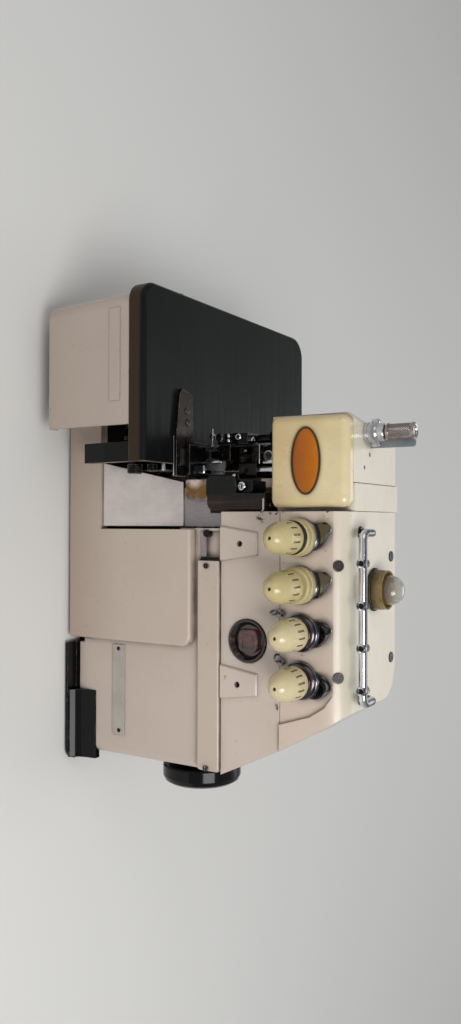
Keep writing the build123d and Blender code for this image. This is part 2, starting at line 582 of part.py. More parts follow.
def handwheel():
    """Black handwheel: rolled rim, dished face and a hub with a screw."""
    inner = MACHINE_RIGHT - WHEEL_WIDTH
    r = WHEEL_RADIUS
    groove = WHEEL_GROOVE
    hub = SHAFT_RADIUS + 7
    points = [(SHAFT_RADIUS + RUNNING, 0), (r - 2, 0), (r - 1, 1), (r - 1, 2), (r - 1 - groove, 5),
              (r - 1 - groove, 7), (r - 1, 10), (r, 11.5), (r, WHEEL_WIDTH - 6),
              (r - 1.6, WHEEL_WIDTH - 2.4), (r - 4.5, WHEEL_WIDTH - 0.4), (r - 7, WHEEL_WIDTH),
              (r - 9, WHEEL_WIDTH - 3), (hub + 1, WHEEL_WIDTH - 8), (hub, WHEEL_WIDTH - 3),
              (SHAFT_RADIUS + RUNNING, WHEEL_WIDTH - 3)]
    face = make_face(Polyline(*[(w, a, 0) for a, w in points], close=True))
    wheel = Pos(inner, SHAFT_Y, SHAFT_Z) * revolve(face, Axis.X)
    for k in range(3):
        turn = radians(90 + 120 * k)
        ring = (hub + r - 9) / 2
        y = SHAFT_Y + ring * cos(turn)
        z = SHAFT_Z + ring * sin(turn)
        wheel = wheel - rod_x(inner - 1, MACHINE_RIGHT, y, z, 2.6)
    key = block(inner, MACHINE_RIGHT - 3.1, SHAFT_Y - SHAFT_RADIUS - RUNNING - 1,
                SHAFT_Y - SHAFT_RADIUS + 1.5 - RUNNING, SHAFT_Z - 4, SHAFT_Z + 4)
    return wheel + key


# Front cover
def front_cover():
    """Cast front cover: an upright door with a low strip to the left, hollow behind."""
    back = BODY_FRONT - FIT

    def outline(inset, y0, y1):
        points = [(COVER_LEFT + inset, COVER_BOTTOM + inset), (COVER_RIGHT - inset, COVER_BOTTOM + inset),
                  (COVER_RIGHT - inset, COVER_TOP - inset), (NOTCH_X + inset, COVER_TOP - inset),
                  (NOTCH_X + inset, STRIP_TOP - inset), (COVER_LEFT + inset, STRIP_TOP - inset)]
        return front_outline(points, y0, y1)

    door = outline(0, COVER_FACE, back)
    door = fillet(edges_near(door, Axis.Y, x=COVER_RIGHT, z=COVER_TOP), 9)
    door = fillet(edges_near(door, Axis.X, y=COVER_FACE, z=COVER_TOP, reach=1), COVER_EDGE)
    door = fillet(edges_near(door, Axis.X, y=COVER_FACE, z=COVER_BOTTOM, reach=1), COVER_EDGE / 2)
    door = door - outline(COVER_WALL, COVER_FACE + COVER_WALL, back + 1)
    slit = CHUTE_THICK + 2 * FIT
    door = door - block(CHUTE_LEFT - FIT, CHUTE_RIGHT + FIT, COVER_FACE + COVER_WALL,
                        COVER_FACE + COVER_WALL + FIT + slit, STRIP_TOP - COVER_WALL - 1, STRIP_TOP + 1)
    bore = COVER_SLEEVE_RADIUS + 2 * RUNNING
    door = door - rod_x(COVER_EARS[0] - 14, COVER_EARS[1] + 14, COVER_HINGE_Y, COVER_HINGE_Z, bore + FIT)
    for ear_x in COVER_EARS:
        door = door - block(ear_x - 4 - COVER_SLIDE, ear_x + 4, COVER_HINGE_Y - 4.5, back + 1,
                            COVER_BOTTOM - 1, COVER_BOTTOM + COVER_WALL + 1)
    for lug_x in SLEEVE_PLACES:
        ring = rod_x(lug_x - 3, lug_x + 3, COVER_HINGE_Y, COVER_HINGE_Z, COVER_LUG_RADIUS)
        door = door + (ring - rod_x(lug_x - 4, lug_x + 4, COVER_HINGE_Y, COVER_HINGE_Z,
                                    COVER_SLEEVE_RADIUS + RUNNING))
    return door


def hinge_pins():
    """Rod that the front cover slides and turns on, and the cloth plate's upright pin."""
    rod = rod_x(COVER_EARS[0] - 3, COVER_EARS[1] + 3, COVER_HINGE_Y, COVER_HINGE_Z, COVER_ROD_RADIUS)
    return Compound(children=[rod, plate_hinge_pin()])


def cover_sleeves():
    """Two sliding sleeves on the rod, one in each of the cover's lugs."""
    tubes = []
    for x in SLEEVE_PLACES:
        tube = rod_x(x - 4, x + 4, COVER_HINGE_Y, COVER_HINGE_Z, COVER_SLEEVE_RADIUS)
        tubes.append(tube - rod_x(x - 5, x + 5, COVER_HINGE_Y, COVER_HINGE_Z, COVER_ROD_RADIUS + RUNNING))
    return Compound(children=tubes)


def chip_chute():
    """Folded steel slide on the cover that lets the trimmings fall to the front."""
    foot_y = COVER_FACE + COVER_WALL + FIT
    points = [(foot_y, STRIP_TOP - COVER_WALL - 12), (foot_y + CHUTE_THICK, STRIP_TOP - COVER_WALL - 12),
              (foot_y + CHUTE_THICK, STRIP_TOP + 1), (CHUTE_FOLD_Y + CHUTE_THICK, CHUTE_FOLD_Z),
              (CHUTE_FOLD_Y, CHUTE_FOLD_Z), (foot_y, STRIP_TOP + 1)]
    slide = side_outline(points, CHUTE_LEFT, CHUTE_RIGHT)
    top = CHUTE_FOLD_Z + 1
    taper = front_outline([(CHUTE_LEFT - 1, STRIP_TOP), (CHUTE_LEFT, STRIP_TOP), (CHUTE_TOP_LEFT, top),
                           (CHUTE_LEFT - 1, top)], COVER_FACE, CHUTE_FOLD_Y + 5)
    return slide - taper


def chute_back():
    """Dull steel plate above the slide, fixed to the casting."""
    low = CHUTE_FOLD_Z - 1
    ledge = KNIFE_CLAMP_TOP + 1
    right = NOTCH_X - 2.3
    step = GUARD_LOW - 1
    points = [(-48.5, low), (right, low), (right, BODY_TOP - 3), (GUARD_RIGHT + 1, BODY_TOP - 3),
              (GUARD_RIGHT + 1, step), (-42, step), (-42, 124), (-53, 124), (-53, ledge), (-48.5, ledge)]
    front = CHUTE_FOLD_Y + 1.6
    plate = front_outline(points, front, front + CHUTE_THICK)
    tab = block(right - 10, right, front, SHELF_BACK, BODY_TOP - 14, BODY_TOP - 12.5)
    return plate + tab


# Parts on the front of the case
def strip_cover():
    """Long cream bar below the tension panel."""
    face = BODY_FRONT - STRIP_THICK
    right = BODY_RIGHT - 1.3
    bar = block(STRIP_LEFT, right, face, BODY_FRONT, COVER_TOP + 4.7, BODY_TOP - 0.6)
    bar = fillet(edges_near(bar, Axis.X, y=face), 1.5)
    bar = fillet(edges_near(bar, Axis.Z, x=right, y=face), 3)
    return holes(bar, [rod_y(x, face - 1, BODY_FRONT + 1, STRIP_SCREW_Z, 1.6) for x in STRIP_SCREW_X])


def small_screw(x, y, z, shank, head, length):
    """A small cheese-head screw pointing back, with a slot."""
    screw = rod_y(x, y - 1.2, y, z, head) + rod_y(x, y - 0.2, y + length, z, shank)
    return screw - block(x - head, x + head, y - 1.4, y - 0.7, z - 0.3, z + 0.3)


def front_screws():
    """Screws that hold the bar and the tension panel."""
    screws = [small_screw(x, BODY_FRONT - STRIP_THICK, STRIP_SCREW_Z, 1.5, 2.2, STRIP_THICK + 3)
              for x in STRIP_SCREW_X]
    for x, z in PANEL_SCREWS:
        screws.append(small_screw(x, PANEL_FACE + 2.2, z, 1.5, 2.0, 6))
    return screws


def blank_strip():
    """Bare aluminium strip."""
    plate = block(NAME_LEFT, NAME_RIGHT, BODY_FRONT - NAME_THICK, BODY_FRONT, NAME_LOW, NAME_HIGH)
    return holes(plate, [rod_y(x, BODY_FRONT - 2, BODY_FRONT + 1, z, 1.2) for x, z in RIVET_PLACES])


def strip_rivets():
    """Two round-headed rivets of the strip."""
    rivets = []
    for x, z in RIVET_PLACES:
        y = BODY_FRONT - NAME_THICK
        rivets.append(turned_y([(0, y - 1), (1.2, y - 0.8), (1.9, y), (1.2, y), (1.2, BODY_FRONT),
                                (0, BODY_FRONT)], x, z))
    return rivets


def stitch_button():
    """Black push button for setting the stitch length."""
    floor = BODY_FRONT + 3
    stem = rod_y(BUTTON_X, BODY_FRONT - 3, BODY_FRONT + 14, BUTTON_Z, BUTTON_RADIUS)
    stem = fillet(stem.edges().sort_by(Axis.Y)[0], 0.8)
    collar = rod_y(BUTTON_X, floor + 2 + FIT, floor + 5, BUTTON_Z, BUTTON_RADIUS + 2)
    return stem + collar


# Upper housing
def right_side(z):
    """Place of the slanting right side at a height."""
    if z < PANEL_TOP:
        return BODY_RIGHT - (z - BODY_TOP) * 0.484
    return right_side(PANEL_TOP - 0.001) - (z - PANEL_TOP) * 0.588


def front_panel():
    """Cast panel with two raised pads and the round window opening."""
    low = BODY_TOP + SEAM
    plate = front_outline([(UPPER_LEFT, low), (right_side(low), low), (right_side(PANEL_TOP), PANEL_TOP),
                           (UPPER_LEFT, PANEL_TOP)], PANEL_FACE, PANEL_FACE + PANEL_THICK)
    pads = []
    for x0, x1, lean in ((-12.1, 5.7, 5.0), (97.3, 114.4, 5.0)):
        pad = front_outline([(x0 - lean, low), (x1 + lean, low), (x1, 190.6), (x0, 190.6)],
                            PANEL_FACE - 1.8, PANEL_FACE + 1)
        rim = [e for e in pad.edges() if abs(e.position_at(0.5).Y - PANEL_FACE + 1.8) < 0.1
               and e.position_at(0.5).Z > low + 1]
        pads.append(chamfer(rim, 1.2))
    for pad in pads:
        plate = plate + pad
    window = rod_y(WINDOW_X, PANEL_FACE - 3, PANEL_FACE + PANEL_THICK + 1, WINDOW_Z, WINDOW_RADIUS + FIT)
    plate = plate - window
    for x, z in PANEL_SCREWS:
        plate = plate - rod_y(x, PANEL_FACE - 3, PANEL_FACE + 2.2, z, 2.4)
        plate = plate - rod_y(x, PANEL_FACE, PANEL_FACE + 9, z, 1.6)
    return plate


def window_bezel():
    """Dark moulded ring of the oil window."""
    y = PANEL_FACE
    r = WINDOW_RADIUS
    return turned_y([(r - 4.5, y + 1.5), (r - 2, y - 1.4), (r - 0.6, y - 1.4), (r, y - 0.6), (r, y + 8),
                     (r - 4.5, y + 8)], WINDOW_X, WINDOW_Z)


def window_lens():
    """Dark cushion-shaped lens set in the ring."""
    y = PANEL_FACE
    r = WINDOW_RADIUS - 4.5 - RUNNING
    disc = rod_y(WINDOW_X, y + 4, y + 8, WINDOW_Z, r)
    cushion = block(WINDOW_X - 9, WINDOW_X + 9, y + 0.6, y + 4.5, WINDOW_Z - 8.5, WINDOW_Z + 8.5)
    cushion = fillet(cushion.edges().filter_by(Axis.Y), 4)
    cushion = fillet(cushion.faces().sort_by(Axis.Y)[0].edges(), 1.6)
    return (disc + cushion) & rod_y(WINDOW_X, y, y + 8, WINDOW_Z, r)


def upper_frame():
    """Upper part of the casting behind the panel, with lugs for the presser shaft."""
    low = BODY_TOP
    back = UPPER_BACK
    front = PANEL_FACE + PANEL_THICK
    outer = front_outline([(UPPER_LEFT, low), (right_side(low + 0.01), low),
                           (right_side(PANEL_TOP), PANEL_TOP), (UPPER_LEFT, PANEL_TOP)], front, back)
    w = UPPER_WALL
    inner = front_outline([(UPPER_LEFT + w, low - 1), (right_side(low + 0.01) - w, low - 1),
                           (right_side(PANEL_TOP) - w, PANEL_TOP + 1), (UPPER_LEFT + w, PANEL_TOP + 1)],
                          front - 1, back - w)
    sill = block(UPPER_LEFT + 1, right_side(low + w) - 1, front, front + 14, low, low + w)
    shell = (outer - inner) + sill
    for x, z in PANEL_SCREWS:
        boss = rod_y(x, front, front + 14, z, 4) + block(x - 4, x + 4, front + 6, front + 14, low, z)
        shell = shell + (boss - rod_y(x, front - 1, front + 4, z, 1.5))
    for x0, x1 in SHAFT_LUGS:
        lug = side_outline([(back - 1, PRESS_PIVOT_Z - 14), (PRESS_PIVOT_Y, PRESS_PIVOT_Z - 11),
                            (PRESS_PIVOT_Y, PRESS_PIVOT_Z + 11), (back - 1, PRESS_PIVOT_Z + 14)], x0, x1)
        lug = lug + rod_x(x0, x1, PRESS_PIVOT_Y, PRESS_PIVOT_Z, 11)
        bore = rod_x(x0 - 1, x1 + 1, PRESS_PIVOT_Y, PRESS_PIVOT_Z, PRESS_SHAFT_RADIUS + RUNNING)
        shell = shell + (lug - bore)
    return shell


def top_form(inset):
    """Outline of the top cover, drawn in by an inset, with its rounded ridge and corners."""
    low = PANEL_TOP + SEAM
    top = TOP_Z - inset
    shoulder = TOP_Z - SHOULDER_DROP
    form = front_outline([(UPPER_LEFT + inset, low - inset), (right_side(low) - inset, low - inset),
                          (right_side(shoulder) - inset, shoulder), (right_side(shoulder) - inset - 6, top),
                          (UPPER_LEFT + inset, top)], TOP_FACE + inset, UPPER_BACK - inset)
    front_edge = [e for e in form.edges() if abs(e.position_at(0.5).Y - TOP_FACE - inset) < 0.1
                  and abs(e.position_at(0.5).Z - top) < 0.1]
    return fillet(front_edge, RIDGE_RADIUS - inset)


def slope_place(x):
    """Place on the rounded ridge where a slope screw stands, turned square to the surface."""
    lean = radians(SLOPE_ANGLE)
    y = TOP_FACE + RIDGE_RADIUS - RIDGE_RADIUS * sin(lean)
    z = TOP_Z - RIDGE_RADIUS + RIDGE_RADIUS * cos(lean)
    return Pos(x, y, z) * Rot(SLOPE_ANGLE, 0, 0)


def top_cover():
    """Top casting: flat lid, rounded ridge and a sunk field for the tensions."""
    shell = top_form(0)
    back_corner = [e for e in shell.edges() if abs(e.position_at(0.5).Y - UPPER_BACK) < 0.5
                   and e.position_at(0.5).X > BODY_RIGHT / 2 and abs(e.tangent_at(0.5).Z) > 0.3]
    shell = fillet(back_corner, TOP_CORNER)
    shell = shell - top_form(UPPER_WALL)
    sunk = front_outline([(UPPER_LEFT - 1, PANEL_TOP - 1), (134, PANEL_TOP - 1), (125, TOP_Z - 28),
                          (117, TOP_Z - 16), (106, TOP_Z - 9), (94, TOP_Z - 7), (UPPER_LEFT - 1, TOP_Z - 7)],
                         TOP_FACE - 1, PANEL_FACE)
    shell = shell - sunk
    bore = LID_HEAD_RADIUS + 0.2
    cuts = [slope_place(x) * Pos(0, 0, 0.4) * Cylinder(bore, 4) for x in SLOPE_SCREWS]
    cuts += [rod_z(x, y, TOP_Z - 1.6, TOP_Z + 1, bore) for x, y in LID_SCREWS]
    for x in TENSION_X:
        cuts.append(rod_y(x, TOP_FACE - 1, PANEL_FACE + UPPER_WALL + 3, TENSION_Z, POST_RADIUS))
    cuts.append(rod_z(DOME_X, DOME_Y, TOP_Z - 9, TOP_Z + 1, DOME_RADIUS - DOME_WALL))
    return holes(shell, cuts)


def lid_screw():
    """A slotted screw head standing on its seat."""
    head = Pos(0, 0, 1.2) * Cylinder(LID_HEAD_RADIUS, 2.4)
    return head - Pos(0, 0, 2.1) * Box(2 * LID_HEAD_RADIUS + 2, 1.0, 1.8)


def top_screws():
    """Four slotted cover screws, two in the front slope and two at the back."""
    screws = [slope_place(x) * Pos(0, 0, -1.6) * lid_screw() for x in SLOPE_SCREWS]
    return screws + [Pos(x, y, TOP_Z - 1.6) * lid_screw() for x, y in LID_SCREWS]


def oil_dome():
    """Clear sight dome with its amber foot ring."""
    z = TOP_Z + 1.6
    rim = z + DOME_HEIGHT - DOME_RADIUS
    r = DOME_FOOT_RADIUS
    foot = turned_z([(0, z), (r, z), (r, z + 8), (r - 1.2, rim - 0.6), (r - 2.8, rim + 0.4), (0, rim + 0.4)],
                    DOME_X, DOME_Y)
    dome = foot + Pos(DOME_X, DOME_Y, rim) * Sphere(DOME_RADIUS, arc_size1=0)
    inner = DOME_RADIUS - DOME_WALL
    dome = dome - Pos(DOME_X, DOME_Y, rim) * Sphere(inner)
    return dome - rod_z(DOME_X, DOME_Y, z - 1, rim, inner)


def dome_gasket():
    """Dark rubber ring under the dome."""
    bore = DOME_RADIUS - DOME_WALL
    r = DOME_FOOT_RADIUS + 1
    return turned_z([(bore, TOP_Z), (r, TOP_Z), (r, TOP_Z + 1), (r - 0.6, TOP_Z + 1.6), (bore, TOP_Z + 1.6)],
                    DOME_X, DOME_Y)


def thread_guide_bar():
    """Bent chrome bar over the front of the lid, drilled for four threads."""
    corners = [(GUIDE_LEFT, GUIDE_FOOT_Y, TOP_Z), (GUIDE_LEFT, GUIDE_FOOT_Y, GUIDE_HEIGHT),
               (GUIDE_LEFT, GUIDE_FRONT_Y, GUIDE_HEIGHT), (GUIDE_RIGHT, GUIDE_FRONT_Y, GUIDE_HEIGHT),
               (GUIDE_RIGHT, GUIDE_FOOT_Y, GUIDE_HEIGHT), (GUIDE_RIGHT, GUIDE_FOOT_Y, TOP_Z)]
    path = FilletPolyline(*corners, radius=GUIDE_BEND)
    ring = Plane((GUIDE_LEFT, GUIDE_FOOT_Y, TOP_Z)) * Circle(GUIDE_RADIUS)
    bar = sweep(ring, path=path)
    for i in range(TENSION_COUNT):
        x = GUIDE_EYE_FIRST + GUIDE_EYE_PITCH * i
        bar = bar - rod_y(x, GUIDE_FRONT_Y - 5, GUIDE_FRONT_Y + 5, GUIDE_HEIGHT, GUIDE_EYE_RADIUS)
    return bar


# Tensions
def tension_knob(x, tip):
    """Cream bullet-shaped knob with short flutes round its base."""
    base = tip + KNOB_LENGTH
    floor = base - KNOB_BORE_DEPTH
    bore = POST_RADIUS + RUNNING
    r = KNOB_RADIUS
    places = [(1.2, tip), (1.2, tip + 6), (bore, tip + 6), (bore, floor), (8.6, floor), (8.6, base),
              (r - 0.5, base), (r, base - 1), (r, base - 9), (r - 0.6, base - 13)]
    sides = [Line((a, b, 0), (c, d, 0)) for (a, b), (c, d) in zip(places, places[1:])]
    nose = ThreePointArc((r - 0.6, base - 13, 0), (9.0, base - 23.5, 0), (2.6, tip, 0))
    outline = Wire(sides + [nose, Line((2.6, tip, 0), (1.2, tip, 0))])
    knob = revolve(make_face(outline), Axis.Y)
    groove = Pos(r + 0.9, base - 7, 0) * Rot(90, 0, 0) * Cylinder(1.7, 12)
    for k in range(KNOB_FLUTES):
        knob = knob - Rot(0, 360 / KNOB_FLUTES * k, 0) * groove
    return Pos(x, 0, TENSION_Z) * knob


def tension_posts():
    """Four threaded posts in the lid's front wall."""
    posts = [rod_y(x, tip + 8, PANEL_FACE + UPPER_WALL - 2, TENSION_Z, POST_RADIUS) for x, tip in TENSIONS]
    return Compound(children=posts)


def tension_rings():
    """Moulded cream rings, two on each of the first posts."""
    rings = []
    bore = POST_RADIUS + RUNNING
    for x in TENSION_X[:RINGED]:
        for k in range(2):
            y = PANEL_FACE - DISC_STACK - FIT - k * (RING_WIDTH + FIT)
            r = RING_RADIUS + 0.6 * (1 - k)
            rings.append(turned_y([(bore, y), (r - 0.6, y), (r, y - 0.8), (r, y - RING_WIDTH + 1.2),
                                   (r - 1, y - RING_WIDTH), (bore, y - RING_WIDTH)], x, TENSION_Z))
    return Compound(children=rings)


def tension_discs():
    """Two dished steel discs on each post that pinch the thread."""
    discs = []
    bore = POST_RADIUS + RUNNING
    for number, x in enumerate(TENSION_X):
        r = DISC_RADIUS
        y = PANEL_FACE
        discs.append(turned_y([(bore, y), (r - 5, y), (r, y - 0.6), (r, y - 1.1), (r - 5, y - 1.2),
                               (bore, y - 1.2)], x, TENSION_Z))
        y = y - 1.5
        discs.append(turned_y([(bore, y), (r - 5, y), (r - 1, y - 0.2), (r - 1, y - 0.9), (r - 6, y - 1.4),
                               (bore, y - 1.4)], x, TENSION_Z))
        if number >= RINGED:
            y = y - 1.6
            discs.append(turned_y([(bore, y), (r - 2, y), (r - 1.5, y - 0.8), (r - 4, y - 3), (bore, y - 3)],
                                  x, TENSION_Z))
    return Compound(children=discs)


def tension_springs():
    """Coil spring on each post, between the discs and the knob."""
    springs = []
    for number, (x, tip) in enumerate(TENSIONS):
        rest = RING_FRONT if number < RINGED else PANEL_FACE - 6.4
        start = rest - FIT - SPRING_WIRE
        end = tip + KNOB_LENGTH - KNOB_BORE_DEPTH + SPRING_WIRE + FIT
        turns = []
        for k in range(19):
            angle = radians(60 * k)
            turns.append((x + SPRING_RADIUS * cos(angle), start - (start - end) * k / 18,
                          TENSION_Z + SPRING_RADIUS * sin(angle)))
        path = Polyline(*turns)
        wire = Plane(origin=path @ 0, z_dir=path % 0) * RegularPolygon(SPRING_WIRE, 4)
        springs.append(sweep(wire, path=path, transition=Transition.RIGHT))
    return Compound(children=springs)


def thread_horns():
    """Bright pressed guides, each a curved horn that leans forward above its discs."""
    horns = []
    low = TENSION_Z + DISC_RADIUS
    for x in TENSION_X:
        blade = front_outline([(x - 9.5, low), (x - 11.2, low + 4), (x - 10.6, low + 8), (x - 8, low + 11),
                               (x - 5, low + 11.6), (x - 2.4, low + 9.6), (x + 0.6, low + 5.6),
                               (x + 5, low + 2.8), (x + 9.5, low + 0.8), (x + 9.5, low)],
                              PANEL_FACE - 9, PANEL_FACE)
        band = side_outline([(PANEL_FACE, low - 1), (PANEL_FACE, low + 3), (PANEL_FACE - 5.4, low + 12),
                             (PANEL_FACE - 7.4, low + 12), (PANEL_FACE - 2.6, low + 1.4),
                             (PANEL_FACE - 2.2, low - 1)], x - 20, x + 20)
        horns.append((blade & band) - rod_y(x, PANEL_FACE - 9, PANEL_FACE + 1, TENSION_Z, DISC_RADIUS + FIT))
    return Compound(children=horns)


# Head over the needle
def head_plan(inset, right, front, back):
    """Plan of the head's left part, whose left side draws in towards the back."""
    lean = (HEAD_BACK_LEFT - HEAD_LEFT) / (HEAD_BACK - HEAD_FRONT)
    left_front = HEAD_LEFT + inset + lean * (front - HEAD_FRONT)
    left_back = HEAD_LEFT + inset + lean * (back - HEAD_FRONT)
    return [(left_front, front), (right, front), (right, back), (left_back, back)]


def head_casting():
    """Casting that holds the needle bar and the presser rod, standing on the case."""
    right = UPPER_LEFT - FIT
    left = HEAD_SEAM_X + SEAM
    main = block(left, right, HEAD_FRONT, HEAD_BACK, HEAD_BOTTOM + 4, TOP_Z)
    main = fillet(edges_near(main, Axis.X, y=HEAD_FRONT, z=TOP_Z, reach=1), 5)
    neck = block(left, right, -28, 14, BODY_TOP, HEAD_BOTTOM + 5)
    arm = plan_outline(head_plan(HEAD_WALL + 0.6, left + 1, HEAD_FRONT + 0.5, HEAD_BACK - HEAD_WALL - 1),
                       HEAD_BOTTOM + 6, TOP_Z - HEAD_WALL - 2)
    pocket = block(PRESS_X + 9, HEAD_SEAM_X - 22, PRESS_Y + 10, HEAD_BACK - 14, HEAD_BOTTOM + 2, TOP_Z - 14)
    casting = (main + neck + arm) - pocket
    bores = [rod_z(NEEDLE_X, NEEDLE_Y, HEAD_BOTTOM, TOP_Z + 1, NEEDLE_BAR_RADIUS + RUNNING),
             rod_z(PRESS_X, PRESS_Y, HEAD_BOTTOM, TOP_Z - 20, PRESS_ROD_RADIUS + RUNNING),
             rod_z(PRESS_X, PRESS_Y, TOP_Z - 21, TOP_Z + 1, SCREW_RADIUS + RUNNING)]
    cap = block(NEEDLE_X - 5, NEEDLE_X + 5, NEEDLE_Y - 5, NEEDLE_Y + 5, TOP_Z - 9, TOP_Z - 6)
    return holes(casting, bores) + cap


def head_cover():
    """Thin cast cover over the left of the head: top, left side and back."""
    box = plan_outline(head_plan(0, HEAD_SEAM_X, HEAD_FRONT, HEAD_BACK), HEAD_BOTTOM, TOP_Z)
    box = fillet(edges_near(box, Axis.Z, x=HEAD_BACK_LEFT, y=HEAD_BACK), 8)
    rim = [e for e in box.edges() if abs(e.position_at(0.5).Z - TOP_Z) < 0.1
           and e.position_at(0.5).X < (HEAD_SEAM_X + HEAD_LEFT) / 2 and e.position_at(0.5).Y > HEAD_FRONT + 1]
    box = fillet(rim, 5)
    inner = plan_outline(head_plan(HEAD_WALL, HEAD_SEAM_X + 1, HEAD_FRONT - 1, HEAD_BACK - HEAD_WALL),
                         HEAD_BOTTOM - 1, TOP_Z - HEAD_WALL)
    cuts = [rod_z(PRESS_X, PRESS_Y, TOP_Z - 8, TOP_Z + 1, SCREW_RADIUS + 0.6)]
    cuts += [rod_z(x, y, TOP_Z - 8, TOP_Z + 1, r) for x, y, r in HEAD_HOLES]
    return holes(box - inner, cuts)


def face_form(inset):
    """The face cover's block with its rounded front, drawn in by an inset."""
    back = HEAD_FRONT - FIT + (1 if inset else 0)
    points = [(back, FACE_BOTTOM + inset), (FACE_FRONT + inset, FACE_BOTTOM + inset),
              (FACE_FRONT + FACE_LEAN + inset, FACE_TOP - inset), (back, FACE_TOP - inset)]
    slab = side_outline(points, FACE_LEFT + inset, FACE_RIGHT - inset)
    rim = [e for e in slab.edges() if e.position_at(0.5).Y < back - 0.5
           and e.position_at(0.5).Z > FACE_BOTTOM + inset + 1]
    return fillet(rim, FACE_ROUND - inset)


def face_cover():
    """Glossy moulded cover in front of the needle bar."""
    shell = face_form(0)
    low = [e for e in shell.edges() if abs(e.position_at(0.5).Z - FACE_BOTTOM) < 0.1
           and e.position_at(0.5).Y < HEAD_FRONT - 1]
    return fillet(low, 3) - face_form(FACE_WALL)


def badge():
    """Blank oval dome in a dark rim, set on the face cover."""
    height = FACE_TOP - FACE_BOTTOM
    lean = degrees(atan2(FACE_LEAN, height))
    plaque = extrude(Ellipse(BADGE_WIDTH / 2, BADGE_HEIGHT / 2), amount=1.4)
    plaque = fillet(plaque.faces().sort_by(Axis.Z)[-1].edges(), 0.8)
    y = FACE_FRONT + FACE_LEAN * (BADGE_Z - FACE_BOTTOM) / height
    return Pos(BADGE_X, y, BADGE_Z) * Rot(90 - lean, 0, 0) * plaque


def pressure_screw():
    """Knurled chrome screw that sets the foot's pressure."""
    low = TOP_Z + 16
    top = TOP_Z + SCREW_TOP_RISE
    r = PRESS_HEAD_RADIUS
    head = turned_z([(0, low), (r - 0.4, low), (r, low + 1), (r, top - 1), (r - 0.7, top), (0, top)],
                    PRESS_X, PRESS_Y)
    for k in range(12):
        turn = radians(30 * k)
        x = PRESS_X + (r + 0.4) * cos(turn)
        y = PRESS_Y + (r + 0.4) * sin(turn)
        head = head - rod_z(x, y, low + 4, top - 4, 0.9)
    stem = rod_z(PRESS_X, PRESS_Y, TOP_Z - 18, low + 1, SCREW_RADIUS)
    return (head + stem) - block(PRESS_X - 8, PRESS_X + 8, PRESS_Y - 0.7, PRESS_Y + 0.7, top - 3, top + 1)


def lock_nut():
    """Eared lock nut and collar under the screw's head."""
    bore = SCREW_RADIUS + RUNNING
    nut = turned_z([(bore, TOP_Z), (8.5, TOP_Z), (8.5, TOP_Z + 7), (7, TOP_Z + 9), (7, TOP_Z + 15.5),
                    (bore, TOP_Z + 15.5)], PRESS_X, PRESS_Y)
    ears = block(PRESS_X - 11, PRESS_X + 11, PRESS_Y - 2, PRESS_Y + 2, TOP_Z + 1, TOP_Z + 6)
    return nut + (ears - rod_z(PRESS_X, PRESS_Y, TOP_Z, TOP_Z + 8, 7))


def thread_strip():
    """Upright strip of cloudy plastic behind the screw."""
    top = TOP_Z + THREAD_STRIP_RISE
    strip = block(THREAD_STRIP_LEFT, THREAD_STRIP_RIGHT, THREAD_STRIP_Y, THREAD_STRIP_Y + 1.4, TOP_Z, top)
    strip = fillet(edges_near(strip, Axis.Y, z=top), 2.5)
    return strip + block(THREAD_STRIP_LEFT, THREAD_STRIP_RIGHT + 7, THREAD_STRIP_Y, THREAD_STRIP_Y + 9, TOP_Z,
                         TOP_Z + 1.4)


# Needle, foot and knives
def needle_bar():
    """Hardened needle bar."""
    bar = rod_z(NEEDLE_X, NEEDLE_Y, CLAMP_LOW + 6, TOP_Z - 12, NEEDLE_BAR_RADIUS)
    return chamfer(bar.edges().sort_by(Axis.Z)[-1], 0.6)


def needle_clamp():
    """Clamp on the bar's end that holds the needle."""
    clamp = block(NEEDLE_X - 7, NEEDLE_X + 6, NEEDLE_Y - 6.5, NEEDLE_Y + 6, CLAMP_LOW, CLAMP_TOP)
    clamp = fillet(clamp.edges().filter_by(Axis.Z), 2.5)
    clamp = clamp - rod_z(NEEDLE_X, NEEDLE_Y, CLAMP_LOW + 6, CLAMP_TOP + 1, NEEDLE_BAR_RADIUS)
    clamp = clamp - rod_z(NEEDLE_X, NEEDLE_Y, CLAMP_LOW - 1, CLAMP_LOW + 7, NEEDLE_SHANK)
    return clamp + rod_y(NEEDLE_X, NEEDLE_Y - 10, NEEDLE_Y - 5.5, CLAMP_LOW + 4, 2.2)


def needle():
    """Sewing needle with its thicker shank."""
    top = CLAMP_LOW + 6
    return turned_z([(0, NEEDLE_TIP), (0.5, NEEDLE_TIP + 3), (0.5, NEEDLE_TIP + 24),
                     (NEEDLE_SHANK, NEEDLE_TIP + 26), (NEEDLE_SHANK, top), (0, top)], NEEDLE_X, NEEDLE_Y)


def presser_rod():
    """Round rod that the pressure spring pushes down on the arm."""
    rod = rod_z(PRESS_X, PRESS_Y, PRESS_ARM_TOP + 0.6, TOP_Z - 30, PRESS_ROD_RADIUS)
    return fillet(rod.edges().sort_by(Axis.Z)[0], 1.5)


